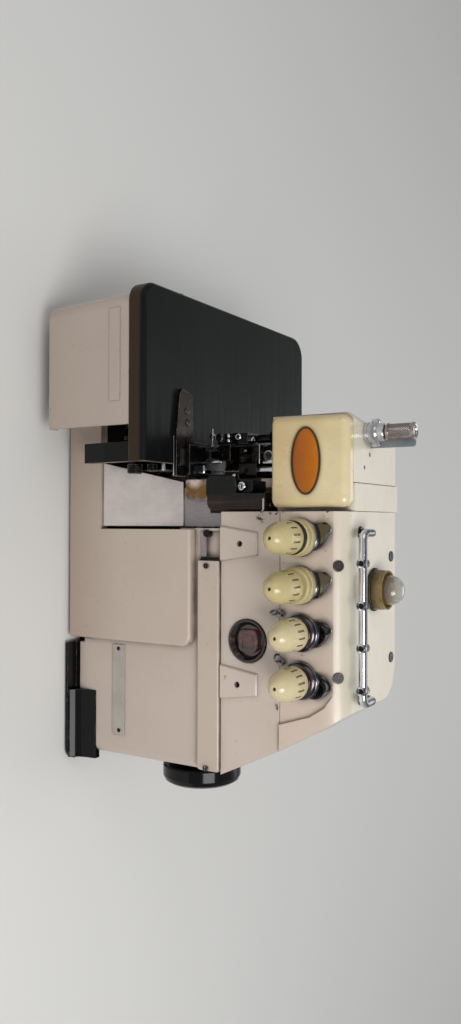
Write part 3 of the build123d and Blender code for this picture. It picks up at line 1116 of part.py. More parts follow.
def presser_arm():
    """Cast presser arm, from its shaft at the back to the shank over the foot."""
    y, z = FOOT_PIN_Y, FOOT_PIN_Z
    beam = side_outline([(PRESS_PIVOT_Y, PRESS_PIVOT_Z - 9), (PRESS_PIVOT_Y, PRESS_PIVOT_Z + 9),
                         (8, PRESS_PIVOT_Z + 4), (-20, PRESS_ARM_TOP), (y - 7, PRESS_ARM_TOP),
                         (y - 9, PRESS_ARM_TOP - 8), (y - 7, z + 6), (y + 7, z + 6),
                         (y + 9, PRESS_ARM_TOP - 15), (-15, PRESS_ARM_TOP - 11), (8, PRESS_PIVOT_Z - 12)],
                        PRESS_ARM_LEFT, PRESS_ARM_RIGHT)
    boss = rod_x(PRESS_ARM_LEFT, PRESS_ARM_RIGHT + 6, PRESS_PIVOT_Y, PRESS_PIVOT_Z, 11)
    shank = block(PRESS_ARM_RIGHT - 1, -71, y - 5, y + 5, z + 6, z + 17)
    lug = side_outline([(y - 4, z), (y + 4, z), (y + 5, z + 8), (y - 5, z + 8)], -79, -73)
    lug = lug + rod_x(-79, -73, y, z, 4)
    arm = beam + boss + shank + lug
    arm = arm - rod_x(-80, -72, y, z, FOOT_PIN_RADIUS + RUNNING)
    return arm - rod_x(PRESS_ARM_LEFT - 1, PRESS_ARM_RIGHT + 7, PRESS_PIVOT_Y, PRESS_PIVOT_Z,
                       PRESS_SHAFT_RADIUS)


def presser_shaft():
    """Cross shaft that lifts the presser arm."""
    return rod_x(PRESS_ARM_LEFT, 32, PRESS_PIVOT_Y, PRESS_PIVOT_Z, PRESS_SHAFT_RADIUS)


def lift_lever():
    """Lever on the back end of the shaft, with a hole for the treadle chain."""
    lever = side_outline([(PRESS_PIVOT_Y - 7, PRESS_PIVOT_Z - 8), (PRESS_PIVOT_Y + 40, PRESS_PIVOT_Z - 12),
                          (PRESS_PIVOT_Y + 46, PRESS_PIVOT_Z - 7), (PRESS_PIVOT_Y + 40, PRESS_PIVOT_Z),
                          (PRESS_PIVOT_Y + 6, PRESS_PIVOT_Z + 9)], -3, 5)
    lever = lever + rod_x(-5, 7, PRESS_PIVOT_Y, PRESS_PIVOT_Z, 11)
    lever = lever - rod_x(-6, 8, PRESS_PIVOT_Y, PRESS_PIVOT_Z, PRESS_SHAFT_RADIUS)
    return lever - rod_x(-6, 8, PRESS_PIVOT_Y + 38, PRESS_PIVOT_Z - 6.5, 2.5)


def presser_foot():
    """Overlock foot: a long sole turned up at its toe, with two ears for the pin."""
    top = TONGUE_TOP
    sole = side_outline([(-88, top + 5), (-84, top + FIT), (-30, top + FIT), (-30, top + 3), (-60, top + 4),
                         (-82, top + 4), (-88, top + 7)], -83, -58.5)
    slot = block(NEEDLE_X - 1.5, NEEDLE_X + 1.5, NEEDLE_Y - 6, NEEDLE_Y + 6, TONGUE_TOP - 1, TONGUE_TOP + 9)
    foot = sole - slot
    for x0 in (-83.0, -72.5):
        ear = side_outline([(FOOT_PIN_Y - 7, TONGUE_TOP + 2), (FOOT_PIN_Y + 7, TONGUE_TOP + 2),
                            (FOOT_PIN_Y + 4, FOOT_PIN_Z + 1), (FOOT_PIN_Y - 4, FOOT_PIN_Z + 1)], x0, x0 + 3)
        ear = ear + rod_x(x0, x0 + 3, FOOT_PIN_Y, FOOT_PIN_Z, 4)
        foot = foot + ear
    return foot + rod_x(-83, -69.5, FOOT_PIN_Y, FOOT_PIN_Z, FOOT_PIN_RADIUS)


def needle_plate():
    """Dark needle plate with a long tongue to the left and slots for the feed."""
    right = KNIFE_SEAT - 2
    tongue = plan_outline([(-128.4, -88), (-126.5, -80), (-124, -74), (-86, -71.5), (-86, SHELF_BACK - 2),
                           (right, SHELF_BACK - 2), (right, -96.5), (-90, -96.5), (-124, -91.5)],
                          TONGUE_LOW, TONGUE_TOP)
    slot_left = FEED_LEFT - 1.5
    slot_right = FEED_RIGHT + 1.5
    low = TONGUE_LOW - 1
    top = TONGUE_TOP + 1
    slots = [block(slot_left, slot_right, -93.5, -71, low, top),
             block(slot_left, slot_right, -58, -28, low, top),
             block(NEEDLE_X - 1.2, NEEDLE_X + 1.2, NEEDLE_Y - 3, NEEDLE_Y + 2.5, low, top)]
    tongue = holes(tongue, slots)
    return holes(tongue, [rod_z(x, y, TONGUE_LOW - 1, TONGUE_TOP + 1, 1.8) for x, y in TONGUE_SCREWS])


def plate_screws():
    """Countersunk screws of the needle plate."""
    screws = []
    for x, y in TONGUE_SCREWS:
        low = TONGUE_LOW + 0.2
        shaft = turned_z([(0, low), (1.75, low), (1.75, TONGUE_TOP), (3.2, TONGUE_TOP),
                          (2.6, TONGUE_TOP + 1.0), (0, TONGUE_TOP + 1.2)], x, y)
        screws.append(shaft - block(x - 4, x + 4, y - 0.35, y + 0.35, TONGUE_TOP + 0.5, TONGUE_TOP + 2))
    return screws


def body_screws():
    """All the small screws and rivets of the fixed parts."""
    return Compound(children=front_screws() + strip_rivets() + top_screws() + plate_screws())


def lower_knife():
    """Fixed lower knife in its holder beside the needle plate."""
    blade = block(KNIFE_SEAT - 1.6, KNIFE_SEAT, KNIFE_FRONT, KNIFE_BACK, KNIFE_POST_TOP, TONGUE_TOP)
    clamp = block(KNIFE_SEAT, KNIFE_SEAT + 6, KNIFE_FRONT, KNIFE_BACK, KNIFE_POST_TOP, KNIFE_CLAMP_TOP)
    stud = rod_x(KNIFE_SEAT + 5, KNIFE_SEAT + 8, (KNIFE_FRONT + KNIFE_BACK) / 2, KNIFE_CLAMP_TOP - 7, 3)
    return blade + clamp + stud


def upper_knife():
    """Moving knife blade."""
    left = KNIFE_SEAT + FIT
    right = left + 1.5
    return front_outline([(left, 121), (right, 122), (right, 152), (left, 152)], KNIFE_FRONT - 1, KNIFE_BACK)


def knife_holder():
    """Black holder of the moving knife with its clamp screws."""
    right = -43.5
    holder = block(KNIFE_SEAT + FIT + 1.5, right, -72, -50, 132, 178)
    holder = fillet(edges_near(holder, Axis.Y, x=right), 3)
    for z in (141.0, 152.0):
        holder = holder + rod_y(right - 5, -75.5, -71, z, 3.4)
        holder = holder - rod_y(right - 5, -76, -73, z, 1.6)
    return holder


def knife_guard():
    """Glossy dark guard to the right of the knife: a folded box open to the left, with a low wing."""
    back = SHELF_BACK
    guard = block(GUARD_LEFT, GUARD_RIGHT, GUARD_FRONT, back, GUARD_LOW, GUARD_TOP)
    guard = fillet(edges_near(guard, Axis.Y, x=GUARD_RIGHT, z=GUARD_LOW), 8)
    guard = fillet(edges_near(guard, Axis.Z, x=GUARD_RIGHT, y=GUARD_FRONT), 2)
    wall = GUARD_WALL
    inner = block(GUARD_LEFT - 1, GUARD_RIGHT - wall, GUARD_FRONT + wall, back - wall, GUARD_LOW - 1,
                  GUARD_TOP - wall)
    neck_gap = block(GUARD_LEFT - 1, GUARD_RIGHT + 1, -28.4, back + 1, BODY_TOP, GUARD_TOP + 1)
    wing = block(GUARD_WING_LEFT, GUARD_LEFT + 1, GUARD_FRONT, GUARD_FRONT + wall, GUARD_LOW, GUARD_WING_TOP)
    wing = fillet(edges_near(wing, Axis.Y, x=GUARD_WING_LEFT), 4)
    return guard - inner - neck_gap + wing


# Loopers and feed
def lower_looper():
    """Lower looper clamped on its shaft, a curved blade pointing right."""
    x, z = LOOPER_PIVOT
    arm = front_outline([(x - 6, z), (x + 6, z), (x + 8, z + 44), (x + 2, z + 50), (x - 4, z + 44)], -60, -53)
    blade = front_outline([(x - 2, z + 44), (x + 6, z + 47), (x + 18, z + 50), (x + 28, z + 51),
                           (x + 17, z + 53.5), (x + 2, z + 54)], -58.5, -55.5)
    arm = arm + rod_y(x, -62, -50, z, 9) + blade
    looper = arm + rod_y(x, -62, BAY_BACK + 4, z, LOOPER_SHAFT_RADIUS)
    return looper.rotate(Axis((x, 0, z), (0, 1, 0)), LOWER_REST_TURN)


def upper_looper():
    """Upper looper clamped on its shaft, a curved blade pointing left."""
    x, z = UPPER_PIVOT
    front = LOOPER_FRONT + 1
    arm = front_outline([(x - 6, z), (x + 6, z), (x + 5, z + 38), (x, z + 46), (x - 4, z + 38)],
                        front, front + 6)
    blade = front_outline([(x + 3, z + 38), (x + 3, z + 44), (x - 2, z + 48), (x - 9, z + 50),
                           (x - 14.5, z + 50), (x - 8, z + 46.5), (x - 4, z + 42), (x - 3, z + 38)],
                          front, front + 2.8)
    arm = arm + rod_y(x, front, front + 12, z, 8) + blade
    looper = arm + rod_y(x, front, BODY_BACK - 1, z, LOOPER_SHAFT_RADIUS)
    return looper.rotate(Axis((x, 0, z), (0, 1, 0)), -UPPER_REST_TURN)


def feed_dog(x0, y0, y1, comb_y0, comb_y1):
    """A feed bar with a toothed comb on top."""
    bar = block(x0, x0 + FEED_BAR_WIDTH, y0, y1, FEED_BAR_LOW, FEED_BAR_TOP)
    comb = block(FEED_LEFT, FEED_RIGHT, comb_y0, comb_y1, FEED_BAR_TOP + 1, PLATE_TOP + 2.4)
    comb = comb + block(x0, x0 + FEED_BAR_WIDTH, comb_y0, comb_y1, FEED_BAR_TOP - 1, FEED_BAR_TOP + 2)
    teeth = int((comb_y1 - comb_y0) / 2)
    for k in range(teeth):
        y = comb_y0 + 2 * k
        tooth = side_outline([(y + 0.4, PLATE_TOP + 3), (y + 2.0, PLATE_TOP + 3), (y + 2.0, PLATE_TOP + 1.2)],
                             FEED_LEFT - 1, FEED_RIGHT + 1)
        comb = comb - tooth
    return bar + comb


def main_feed_dog():
    """Rear feed dog."""
    return feed_dog(FEED_LEFT, -56, FEED_BACK, -54, -32)


def front_feed_dog():
    """Differential feed dog in front of the needle."""
    front = -88.5
    return feed_dog(FEED_LEFT + 7, front, FEED_BACK, front, front + 14)


NODES = {
    "cloth_plate": cloth_plate,
    "side_cover": side_cover,
    "latch_bracket": latch_bracket,
    "latch_lever": latch_lever,
    "base_tray": base_tray,
    "rubber_feet": rubber_feet,
    "machine_frame": machine_frame,
    "shaft_bushes": frame_bushes,
    "main_shaft": main_shaft,
    "handwheel": handwheel,
    "front_cover": front_cover,
    "hinge_pins": hinge_pins,
    "cover_sleeves": cover_sleeves,
    "chip_chute": chip_chute,
    "chute_back": chute_back,
    "strip_cover": strip_cover,
    "body_screws": body_screws,
    "blank_strip": blank_strip,
    "stitch_button": stitch_button,
    "front_panel": front_panel,
    "window_bezel": window_bezel,
    "window_lens": window_lens,
    "upper_frame": upper_frame,
    "top_cover": top_cover,
    "oil_dome": oil_dome,
    "dome_gasket": dome_gasket,
    "thread_guide_bar": thread_guide_bar,
    "tension_posts": tension_posts,
    "tension_rings": tension_rings,
    "tension_discs": tension_discs,
    "tension_springs": tension_springs,
    "thread_horns": thread_horns,
    "head_casting": head_casting,
    "head_cover": head_cover,
    "face_cover": face_cover,
    "badge": badge,
    "pressure_screw": pressure_screw,
    "lock_nut": lock_nut,
    "thread_strip": thread_strip,
    "needle_bar": needle_bar,
    "needle_clamp": needle_clamp,
    "needle": needle,
    "presser_rod": presser_rod,
    "presser_arm": presser_arm,
    "presser_shaft": presser_shaft,
    "lift_lever": lift_lever,
    "presser_foot": presser_foot,
    "needle_plate": needle_plate,
    "lower_knife": lower_knife,
    "upper_knife": upper_knife,
    "knife_holder": knife_holder,
    "knife_guard": knife_guard,
    "lower_looper": lower_looper,
    "upper_looper": upper_looper,
    "main_feed_dog": main_feed_dog,
    "front_feed_dog": front_feed_dog,
}
for number, place in enumerate(TENSIONS, start=1):
    NODES[f"tension_knob_{number}"] = lambda at=place: tension_knob(*at)

os.makedirs("parts", exist_ok=True)
for name, make in NODES.items():
    export_step(make(), f"parts/{name}.step")
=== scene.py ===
"""Overlock sewing machine head: finishes, fine pieces, light and camera."""
from math import cos, pi, radians, sin

import bmesh
import bpy
from mathutils import Matrix, Vector


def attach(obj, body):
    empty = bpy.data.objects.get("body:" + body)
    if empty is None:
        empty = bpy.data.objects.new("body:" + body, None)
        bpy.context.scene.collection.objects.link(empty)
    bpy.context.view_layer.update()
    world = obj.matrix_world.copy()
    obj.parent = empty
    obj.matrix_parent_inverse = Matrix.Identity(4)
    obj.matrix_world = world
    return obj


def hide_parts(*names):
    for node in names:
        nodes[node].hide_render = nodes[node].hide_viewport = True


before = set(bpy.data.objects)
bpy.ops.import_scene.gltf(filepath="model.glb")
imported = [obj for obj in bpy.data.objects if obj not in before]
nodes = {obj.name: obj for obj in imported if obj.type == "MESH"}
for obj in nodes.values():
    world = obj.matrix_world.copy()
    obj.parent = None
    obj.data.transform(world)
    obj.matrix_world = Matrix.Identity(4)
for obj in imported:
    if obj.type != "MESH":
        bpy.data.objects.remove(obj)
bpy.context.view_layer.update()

MM = 0.001

# Sizes and figures of the finishes
ENAMEL_EDGE = 0.8
CLEAR_INDEX = 1.46
KNURL_CUTS = 22.0
KNURL_SLANT = 3400.0

# Places of the CAD pieces that the fine pieces sit on, in millimetres
TENSION_Z = 228.0
PANEL_FACE = -85.0
TENSION_X = [-8.5 + 35.7 * i for i in range(4)]
KNOB_TIPS_Y = (-134.7, -134.7, -127.0, -127.0)
ROD_X, ROD_Y = -88.7, -44.5
HEAD_TOP = 264.0
DOME_SEAT = (32.5, -30.0, 265.6)
BAR_Y, BAR_Z = -78.0, 275.0
BAR_HOLES_X = [10.1 + 30.9 * i for i in range(4)]
BAR_FEET = ((-12.0, -57.0, HEAD_TOP), (113.0, -57.0, HEAD_TOP))
OVAL_MIDDLE = Vector((-66.0, -85.3, 232.0))
OVAL_OUTWARD = Vector((0, -0.989, 0.148))
OVAL_LEAN = radians(90 - 8.53)


def tint(red, green, blue):
    """A shader colour from screen values of 0 to 255."""
    linear = [((c / 255 + 0.055) / 1.055) ** 2.4 for c in (red, green, blue)]
    return (*linear, 1.0)


# Finishes
class Finish:
    """A node material with object coordinates and one shader."""

    def __init__(self, name, colour, roughness, metallic=0.0):
        self.material = bpy.data.materials.new(name)
        self.material.use_nodes = True
        self.tree = self.material.node_tree
        self.shader = self.tree.nodes["Principled BSDF"]
        self.setting("Base Color", colour)
        self.setting("Roughness", roughness)
        self.setting("Metallic", metallic)
        self.place = self.tree.nodes.new("ShaderNodeTexCoord").outputs["Object"]

    def node(self, kind, **values):
        made = self.tree.nodes.new("ShaderNode" + kind)
        for key, value in values.items():
            setattr(made, key, value)
        return made

    def join(self, start, end):
        self.tree.links.new(start, end)

    def stretch(self, scale):
        """Object coordinates stretched along an axis."""
        mapping = self.node("Mapping")
        mapping.inputs["Scale"].default_value = scale
        self.join(self.place, mapping.inputs["Vector"])
        return mapping.outputs["Vector"]

    def noise(self, scale, detail, roughness=0.55, place=None, distortion=0.0):
        made = self.node("TexNoise")
        made.inputs["Scale"].default_value = scale
        for key, value in (("Detail", detail), ("Roughness", roughness), ("Distortion", distortion)):
            made.inputs[key].default_value = value
        self.join(place or self.place, made.inputs["Vector"])
        return made.outputs["Fac"]

    def band(self, value, low, high, start=0.0, end=1.0):
        """A value spread from one range to another, with its ends held."""
        made = self.node("MapRange")
        for key, limit in (("From Min", low), ("From Max", high), ("To Min", start), ("To Max", end)):
            made.inputs[key].default_value = limit
        self.join(value, made.inputs["Value"])
        return made.outputs["Result"]

    def cloud(self, grain, *limits):
        """Noise of a scale, detail and roughness, spread as a band."""
        return self.band(self.noise(*grain), *limits)

    def maths(self, operation, first, second=None):
        made = self.node("Math", operation=operation)
        for socket, value in zip(made.inputs, (first, second)):
            if value is None:
                continue
            if isinstance(value, float):
                socket.default_value = value
            else:
                self.join(value, socket)
        return made.outputs["Value"]

    def times(self, first, second):
        return self.maths("MULTIPLY", first, second)

    def along(self, axis, low, high, start=0.0, end=1.0):
        """A band along one axis of the part, in millimetres."""
        split = self.node("SeparateXYZ")
        self.join(self.place, split.inputs["Vector"])
        return self.band(split.outputs[axis], low * MM, high * MM, start, end)

    def setting(self, name, value):
        self.shader.inputs[name].default_value = value

    def coat(self, weight, roughness):
        self.setting("Coat Weight", weight)
        self.setting("Coat Roughness", roughness)

    def blend(self, share, first, second):
        """Two colours mixed by a share."""
        made = self.node("Mix", data_type="RGBA")
        for socket, value in ((made.inputs[0], share), (made.inputs[6], first), (made.inputs[7], second)):
            if isinstance(value, (float, tuple)):
                socket.default_value = value
            else:
                self.join(value, socket)
        return made.outputs[2]

    def edges(self, radius, low=0.02, high=0.2):
        """High along the sharp edges of a piece, to a radius in millimetres."""
        rounded = self.node("Bevel", samples=6)
        rounded.inputs["Radius"].default_value = radius * MM
        flat = self.node("NewGeometry")
        dot = self.node("VectorMath", operation="DOT_PRODUCT")
        self.join(rounded.outputs["Normal"], dot.inputs[0])
        self.join(flat.outputs["Normal"], dot.inputs[1])
        return self.band(self.maths("SUBTRACT", 1.0, dot.outputs["Value"]), low, high)

    def occlusion_shade(self, distance):
        """Painted shade: high in corners and seams, found by ambient occlusion, to a distance in
        millimetres.
        """
        shade = self.node("AmbientOcclusion", samples=6)
        shade.inputs["Distance"].default_value = distance * MM
        return self.band(shade.outputs["AO"], 0.35, 0.95, 1.0, 0.0)

    def spot(self, centre, reach):
        """High near a point, which is given with its reach in millimetres."""
        span = self.node("VectorMath", operation="DISTANCE")
        self.join(self.place, span.inputs[0])
        span.inputs[1].default_value = Vector(centre) * MM
        return self.band(span.outputs["Value"], reach * 0.4 * MM, reach * MM, 1.0, 0.0)

    def bump(self, height, strength, distance, radius=0.0):
        """Surface relief, over edges rounded to a radius; both in millimetres."""
        made = self.node("Bump")
        made.inputs["Strength"].default_value = strength
        made.inputs["Distance"].default_value = distance * MM
        self.join(height, made.inputs["Height"])
        if radius:
            rounded = self.node("Bevel", samples=6)
            rounded.inputs["Radius"].default_value = radius * MM
            self.join(rounded.outputs["Normal"], made.inputs["Normal"])
        self.join(made.outputs["Normal"], self.shader.inputs["Normal"])

    def colour(self, value):
        self.join(value, self.shader.inputs["Base Color"])

    def gloss(self, value):
        self.join(value, self.shader.inputs["Roughness"])


def cream_enamel(name, colour, knocks=(), bay=False, shade=None):
    """Stoved enamel on a casting: slightly mottled, chipped at its edges and knocks, with dirt and painted
    shade in its seams, and painted shade low down where a shade band is given.
    """
    paint = Finish(name, colour, 0.34)
    mottle = paint.cloud((9, 4), 0.3, 0.7)
    dark = tuple(c * 0.90 for c in colour[:3]) + (1.0,)
    base = paint.blend(mottle, colour, dark)
    # Painted shade: below a height the colour turns to a darker copy of the paint, for light that falls off
    # there.
    if shade:
        low, high, shaded_colour = shade
        base = paint.blend(paint.along("Z", low, high), shaded_colour, base)
    smear = paint.noise(28, 6, 0.7, distortion=0.6)
    base = paint.blend(paint.band(smear, 0.55, 0.85, 0.0, 0.22), base, tint(160, 138, 112))
    specks = paint.cloud((420, 2, 0.5), 0.735, 0.78)
    base = paint.blend(paint.times(specks, 0.65), base, tint(92, 76, 60))
    # Dirt and painted shade: seams and corners found by occlusion turn patchily dark brown.
    grime_and_shade = paint.times(paint.occlusion_shade(6), paint.cloud((60, 5), 0.3, 0.7, 0.45, 1.0))
    base = paint.blend(paint.times(grime_and_shade, 0.95), base, tint(70, 53, 40))
    chips = paint.times(paint.edges(ENAMEL_EDGE), paint.cloud((150, 4, 0.7), 0.58, 0.64))
    base = paint.blend(paint.times(chips, 0.85), base, tint(74, 62, 54))
    if knocks:
        flake = paint.cloud((300, 4, 0.65), 0.55, 0.6)
        for centre, reach in knocks:
            share = paint.times(paint.spot(centre, reach), flake)
            base = paint.blend(share, base, tint(66, 46, 36))
    if bay:
        left = paint.along("X", -64, -61, 1.0, 0.0)
        below = paint.along("Z", 112, 114, 1.0, 0.0)
        base = paint.blend(paint.times(left, below), base, tint(24, 20, 18))
    paint.colour(base)
    paint.gloss(paint.band(smear, 0.3, 0.8, 0.28, 0.46))
    paint.coat(0.25, 0.18)
    paint.bump(paint.noise(750, 2, 0.5), 0.16, 0.25, ENAMEL_EDGE)
    return paint.material


def burnished_plate():
    """Dark burnished steel, scratched by cloth, brighter along its edges: rubbed bare there, and a painted
    highlight.
    """
    steel = Finish("burnished_plate", tint(28, 31, 31), 0.4, 0.2)
    steel.setting("Specular IOR Level", 0.16)
    cloud = steel.cloud((7, 5, 0.6), 0.3, 0.7)
    base = steel.blend(cloud, tint(9, 11, 11), tint(22, 24, 23))
    streak = steel.noise(260, 3, 0.6, place=steel.stretch((0.04, 1.0, 1.0)))
    base = steel.blend(steel.band(streak, 0.6, 0.75, 0.0, 0.3), base, tint(52, 54, 52))
    patchy = steel.cloud((40, 4), 0.25, 0.6, 0.35, 1.0)
    # Wear and painted highlight: the edges turn pale in patches.
    rubbed = steel.times(steel.edges(1.6, 0.01, 0.12), patchy)
    base = steel.blend(rubbed, base, tint(150, 142, 128))
    low = steel.along("Z", 112, 115, 1.0, 0.0)
    base = steel.blend(steel.times(low, 0.75), base, tint(64, 50, 37))
    steel.colour(base)
    steel.gloss(steel.band(streak, 0.3, 0.7, 0.32, 0.46))
    steel.bump(streak, 0.05, 0.1, 0.5)
    return steel.material


def black_enamel(name, roughness):
    """Gloss black paint with dust and a few scuffs."""
    paint = Finish(name, tint(9, 9, 11), roughness)
    paint.setting("Specular IOR Level", 0.25)
    dust = paint.cloud((120, 6, 0.75), 0.58, 0.8, 0.0, 0.25)
    base = paint.blend(dust, tint(5, 5, 6), tint(48, 44, 40))
    chips = paint.times(paint.edges(0.7), paint.cloud((170, 4), 0.5, 0.6))
    base = paint.blend(paint.times(chips, 0.7), base, tint(128, 122, 116))
    paint.colour(base)
    paint.gloss(paint.band(dust, 0.0, 0.35, roughness, 0.55))
    paint.bump(paint.noise(300, 3), 0.08, 0.2, 0.6)
    return paint.material


def bright_steel(name, colour, roughness, stretch, scratches=0.3):
    """Brushed or turned steel with fine lines one way."""
    steel = Finish(name, colour, roughness, 1.0)
    lines = steel.noise(900, 3, 0.65, place=steel.stretch(stretch))
    cloud = steel.cloud((35, 5, 0.7), 0.35, 0.75)
    dark = tuple(c * 0.55 for c in colour[:3]) + (1.0,)
    base = steel.blend(steel.times(cloud, 0.55), colour, dark)
    base = steel.blend(steel.band(lines, 0.4, 0.75, 0.0, scratches), base, tint(236, 232, 226))
    steel.colour(base)
    steel.gloss(steel.band(lines, 0.25, 0.75, roughness * 0.75, roughness * 1.35))
    steel.bump(lines, 0.12, 0.1, 0.4)
    return steel.material


def stained_plate():
    """Dull steel above the chute, with a patch of dried amber oil and a pale painted sheen beside it."""
    steel = Finish("dull_steel", tint(150, 145, 144), 0.42, 0.85)
    lines = steel.noise(700, 3, 0.65, place=steel.stretch((1.0, 1.0, 0.2)))
    base = steel.blend(steel.band(lines, 0.4, 0.75, 0.0, 0.3), tint(156, 151, 152), tint(192, 187, 186))
    stain = steel.band(steel.noise(130, 4, 0.6, distortion=0.5), 0.22, 0.5)
    patch = steel.maths("MAXIMUM", steel.spot((-47, -76, 132.5), 10), steel.spot((-46, -76, 122.5), 9))
    oil = steel.times(steel.band(patch, 0.1, 0.4, 0.0, 0.95), stain)
    base = steel.blend(oil, base, tint(128, 94, 42))
    # Painted sheen: a patchy spot left of the oil turns pale pinkish white.
    painted_wet_sheen = steel.times(steel.spot((-54, -76, 125.5), 8), steel.cloud((200, 4), 0.3, 0.5))
    base = steel.blend(painted_wet_sheen, base, tint(214, 196, 186))
    steel.colour(base)
    steel.gloss(steel.band(oil, 0.0, 1.0, 0.44, 0.24))
    steel.bump(lines, 0.1, 0.1, 0.3)
    return steel.material


def oily_steel(name, colour, roughness):
    """Black oxide finish, slick with oil, with lint, and with bright corners that are rubbed bare and a
    painted highlight.
    """
    steel = Finish(name, colour, roughness, 0.75)
    film = steel.noise(70, 5, 0.7, distortion=0.8)
    base = steel.blend(steel.band(film, 0.4, 0.8), colour, tint(44, 36, 29))
    # Wear and painted highlight: edges turn pale in patches.
    wear_and_highlight = steel.times(steel.edges(0.6, 0.03, 0.2), steel.cloud((120, 4), 0.35, 0.6))
    base = steel.blend(wear_and_highlight, base, tint(186, 182, 176))
    lint = steel.cloud((260, 4, 0.7), 0.63, 0.7, 0.0, 0.55)
    base = steel.blend(lint, base, tint(120, 112, 104))
    steel.colour(base)
    steel.gloss(steel.band(film, 0.3, 0.75, roughness * 0.6, roughness * 1.7))
    steel.bump(film, 0.2, 0.3, 0.4)
    return steel.material


def plating(name, colour, roughness=0.08):
    """Bright chrome with faint haze and pinpricks of rust."""
    chrome = Finish(name, colour, roughness, 1.0)
    haze = chrome.noise(55, 5, 0.7)
    pits = chrome.cloud((480, 3, 0.6), 0.68, 0.76, 0.0, 0.8)
    base = chrome.blend(pits, colour, tint(88, 70, 56))
    chrome.colour(base)
    chrome.gloss(chrome.band(haze, 0.35, 0.8, roughness, roughness + 0.16))
    chrome.bump(haze, 0.03, 0.2, 0.3)
    return chrome.material


def bar_plating():
    """Chrome of the thread guide bar, with a painted reflection: bright along its middle, dark in patchy
    bands along its upper and lower sides.
    """
    chrome = Finish("bar_chrome", tint(212, 213, 216), 0.08, 1.0)
    # Painted reflection: the bands below and above turn the chrome dark.
    under = chrome.along("Z", 272.6, 273.8, 1.0, 0.0)
    over = chrome.along("Z", 276.6, 277.6, 0.0, 0.85)
    tarnish_and_reflection = chrome.noise(60, 4, 0.6, place=chrome.stretch((0.3, 1.0, 1.0)))
    dark = chrome.times(chrome.maths("MAXIMUM", under, over), chrome.band(tarnish_and_reflection, 0.3, 0.55, 0.55, 1.0))
    base = chrome.blend(dark, tint(236, 236, 238), tint(56, 56, 60))
    pits = chrome.cloud((480, 3, 0.6), 0.66, 0.74, 0.0, 0.8)
    chrome.colour(chrome.blend(pits, base, tint(74, 58, 48)))
    chrome.gloss(chrome.band(tarnish_and_reflection, 0.35, 0.8, 0.07, 0.22))
    chrome.bump(tarnish_and_reflection, 0.03, 0.2, 0.3)
    return chrome.material


def yellowed_plastic(name, colour, deep, brown_foot=False):
    """Glossy moulded plastic, yellowed unevenly, with fine scratches."""
    plastic = Finish(name, colour, 0.2)
    age = plastic.cloud((16, 4, 0.6), 0.3, 0.75)
    base = plastic.blend(age, colour, deep)
    if brown_foot:
        low = plastic.along("Z", 206, 246, 0.55, 0.0)
        base = plastic.blend(low, base, tint(178, 148, 98))
    # Dirt and painted shade: corners and seams found by occlusion turn brown.
    dirt = plastic.times(plastic.occlusion_shade(3), 0.8)
    base = plastic.blend(dirt, base, tint(96, 76, 46))
    scuffs = plastic.noise(500, 2, place=plastic.stretch((1.0, 0.06, 0.4)))
    rubbed = plastic.band(scuffs, 0.66, 0.78, 0.0, 0.25)
    base = plastic.blend(rubbed, base, tint(150, 128, 88))
    plastic.colour(base)
    plastic.gloss(plastic.cloud((90, 4), 0.3, 0.8, 0.16, 0.34))
    plastic.setting("Subsurface Weight", 0.08)
    plastic.setting("Subsurface Radius", (0.004, 0.003, 0.0015))
    plastic.coat(0.35, 0.08)
    plastic.bump(plastic.noise(220, 2), 0.03, 0.2, 0.5)
    return plastic.material


def clouded(name, colour, roughness, first, second, cloud, limits, relief, depth, coat=None, clear=0.0):
    """Two colours in clouds, with a fine relief: rubber, oil, dark or cloudy plastic."""
    finish = Finish(name, colour, roughness)
    share = finish.cloud(cloud, *limits)
    finish.colour(finish.blend(share, first, second))
    finish.setting("Transmission Weight", clear)
    if coat:
        finish.coat(*coat)
    finish.bump(finish.noise(*relief), *depth)
    return finish.material


def bronze_finish():
    """Turned bronze, darkened by oil."""
    bronze = Finish("bush_bronze", tint(150, 112, 62), 0.32, 1.0)
    film = bronze.cloud((90, 4), 0.35, 0.7)
    bronze.colour(bronze.blend(film, tint(160, 122, 70), tint(74, 54, 32)))
    bronze.bump(bronze.noise(900, 2, place=bronze.stretch((1.0, 0.1, 0.1))), 0.1, 0.2, 0.3)
    return bronze.material


def orange_enamel():
    """Deep orange enamel of the blank oval, darker towards its lower edge."""
    enamel = Finish("oval_orange", tint(205, 118, 26), 0.18)
    shade = enamel.along("Z", 222, 242)
    base = enamel.blend(shade, tint(146, 72, 4), tint(190, 110, 18))
    cloud = enamel.cloud((140, 4, 0.7), 0.4, 0.8, 0.0, 0.3)
    enamel.colour(enamel.blend(cloud, base, tint(128, 62, 10)))
    enamel.setting("Specular IOR Level", 0.3)
    enamel.coat(0.2, 0.06)
    enamel.bump(enamel.noise(300, 2), 0.04, 0.2)
    return enamel.material


def dome_clear():
    """Clear moulded dome, tinted amber from its foot to its middle: a painted reflection of the amber cup,
    and the oil at its foot.
    """
    clear = Finish("dome_clear", tint(236, 230, 206), 0.05)
    # Painted reflection: amber up to the middle of the cap.
    painted_amber_reflection = clear.along("Z", 274, 283)
    clear.colour(clear.blend(painted_amber_reflection, tint(172, 128, 48), tint(240, 238, 228)))
    clear.gloss(clear.cloud((120, 4), 0.3, 0.8, 0.04, 0.14))
    clear.setting("Transmission Weight", 0.82)
    clear.setting("IOR", CLEAR_INDEX)
    clear.bump(clear.noise(60, 2), 0.02, 0.3)
    return clear.material


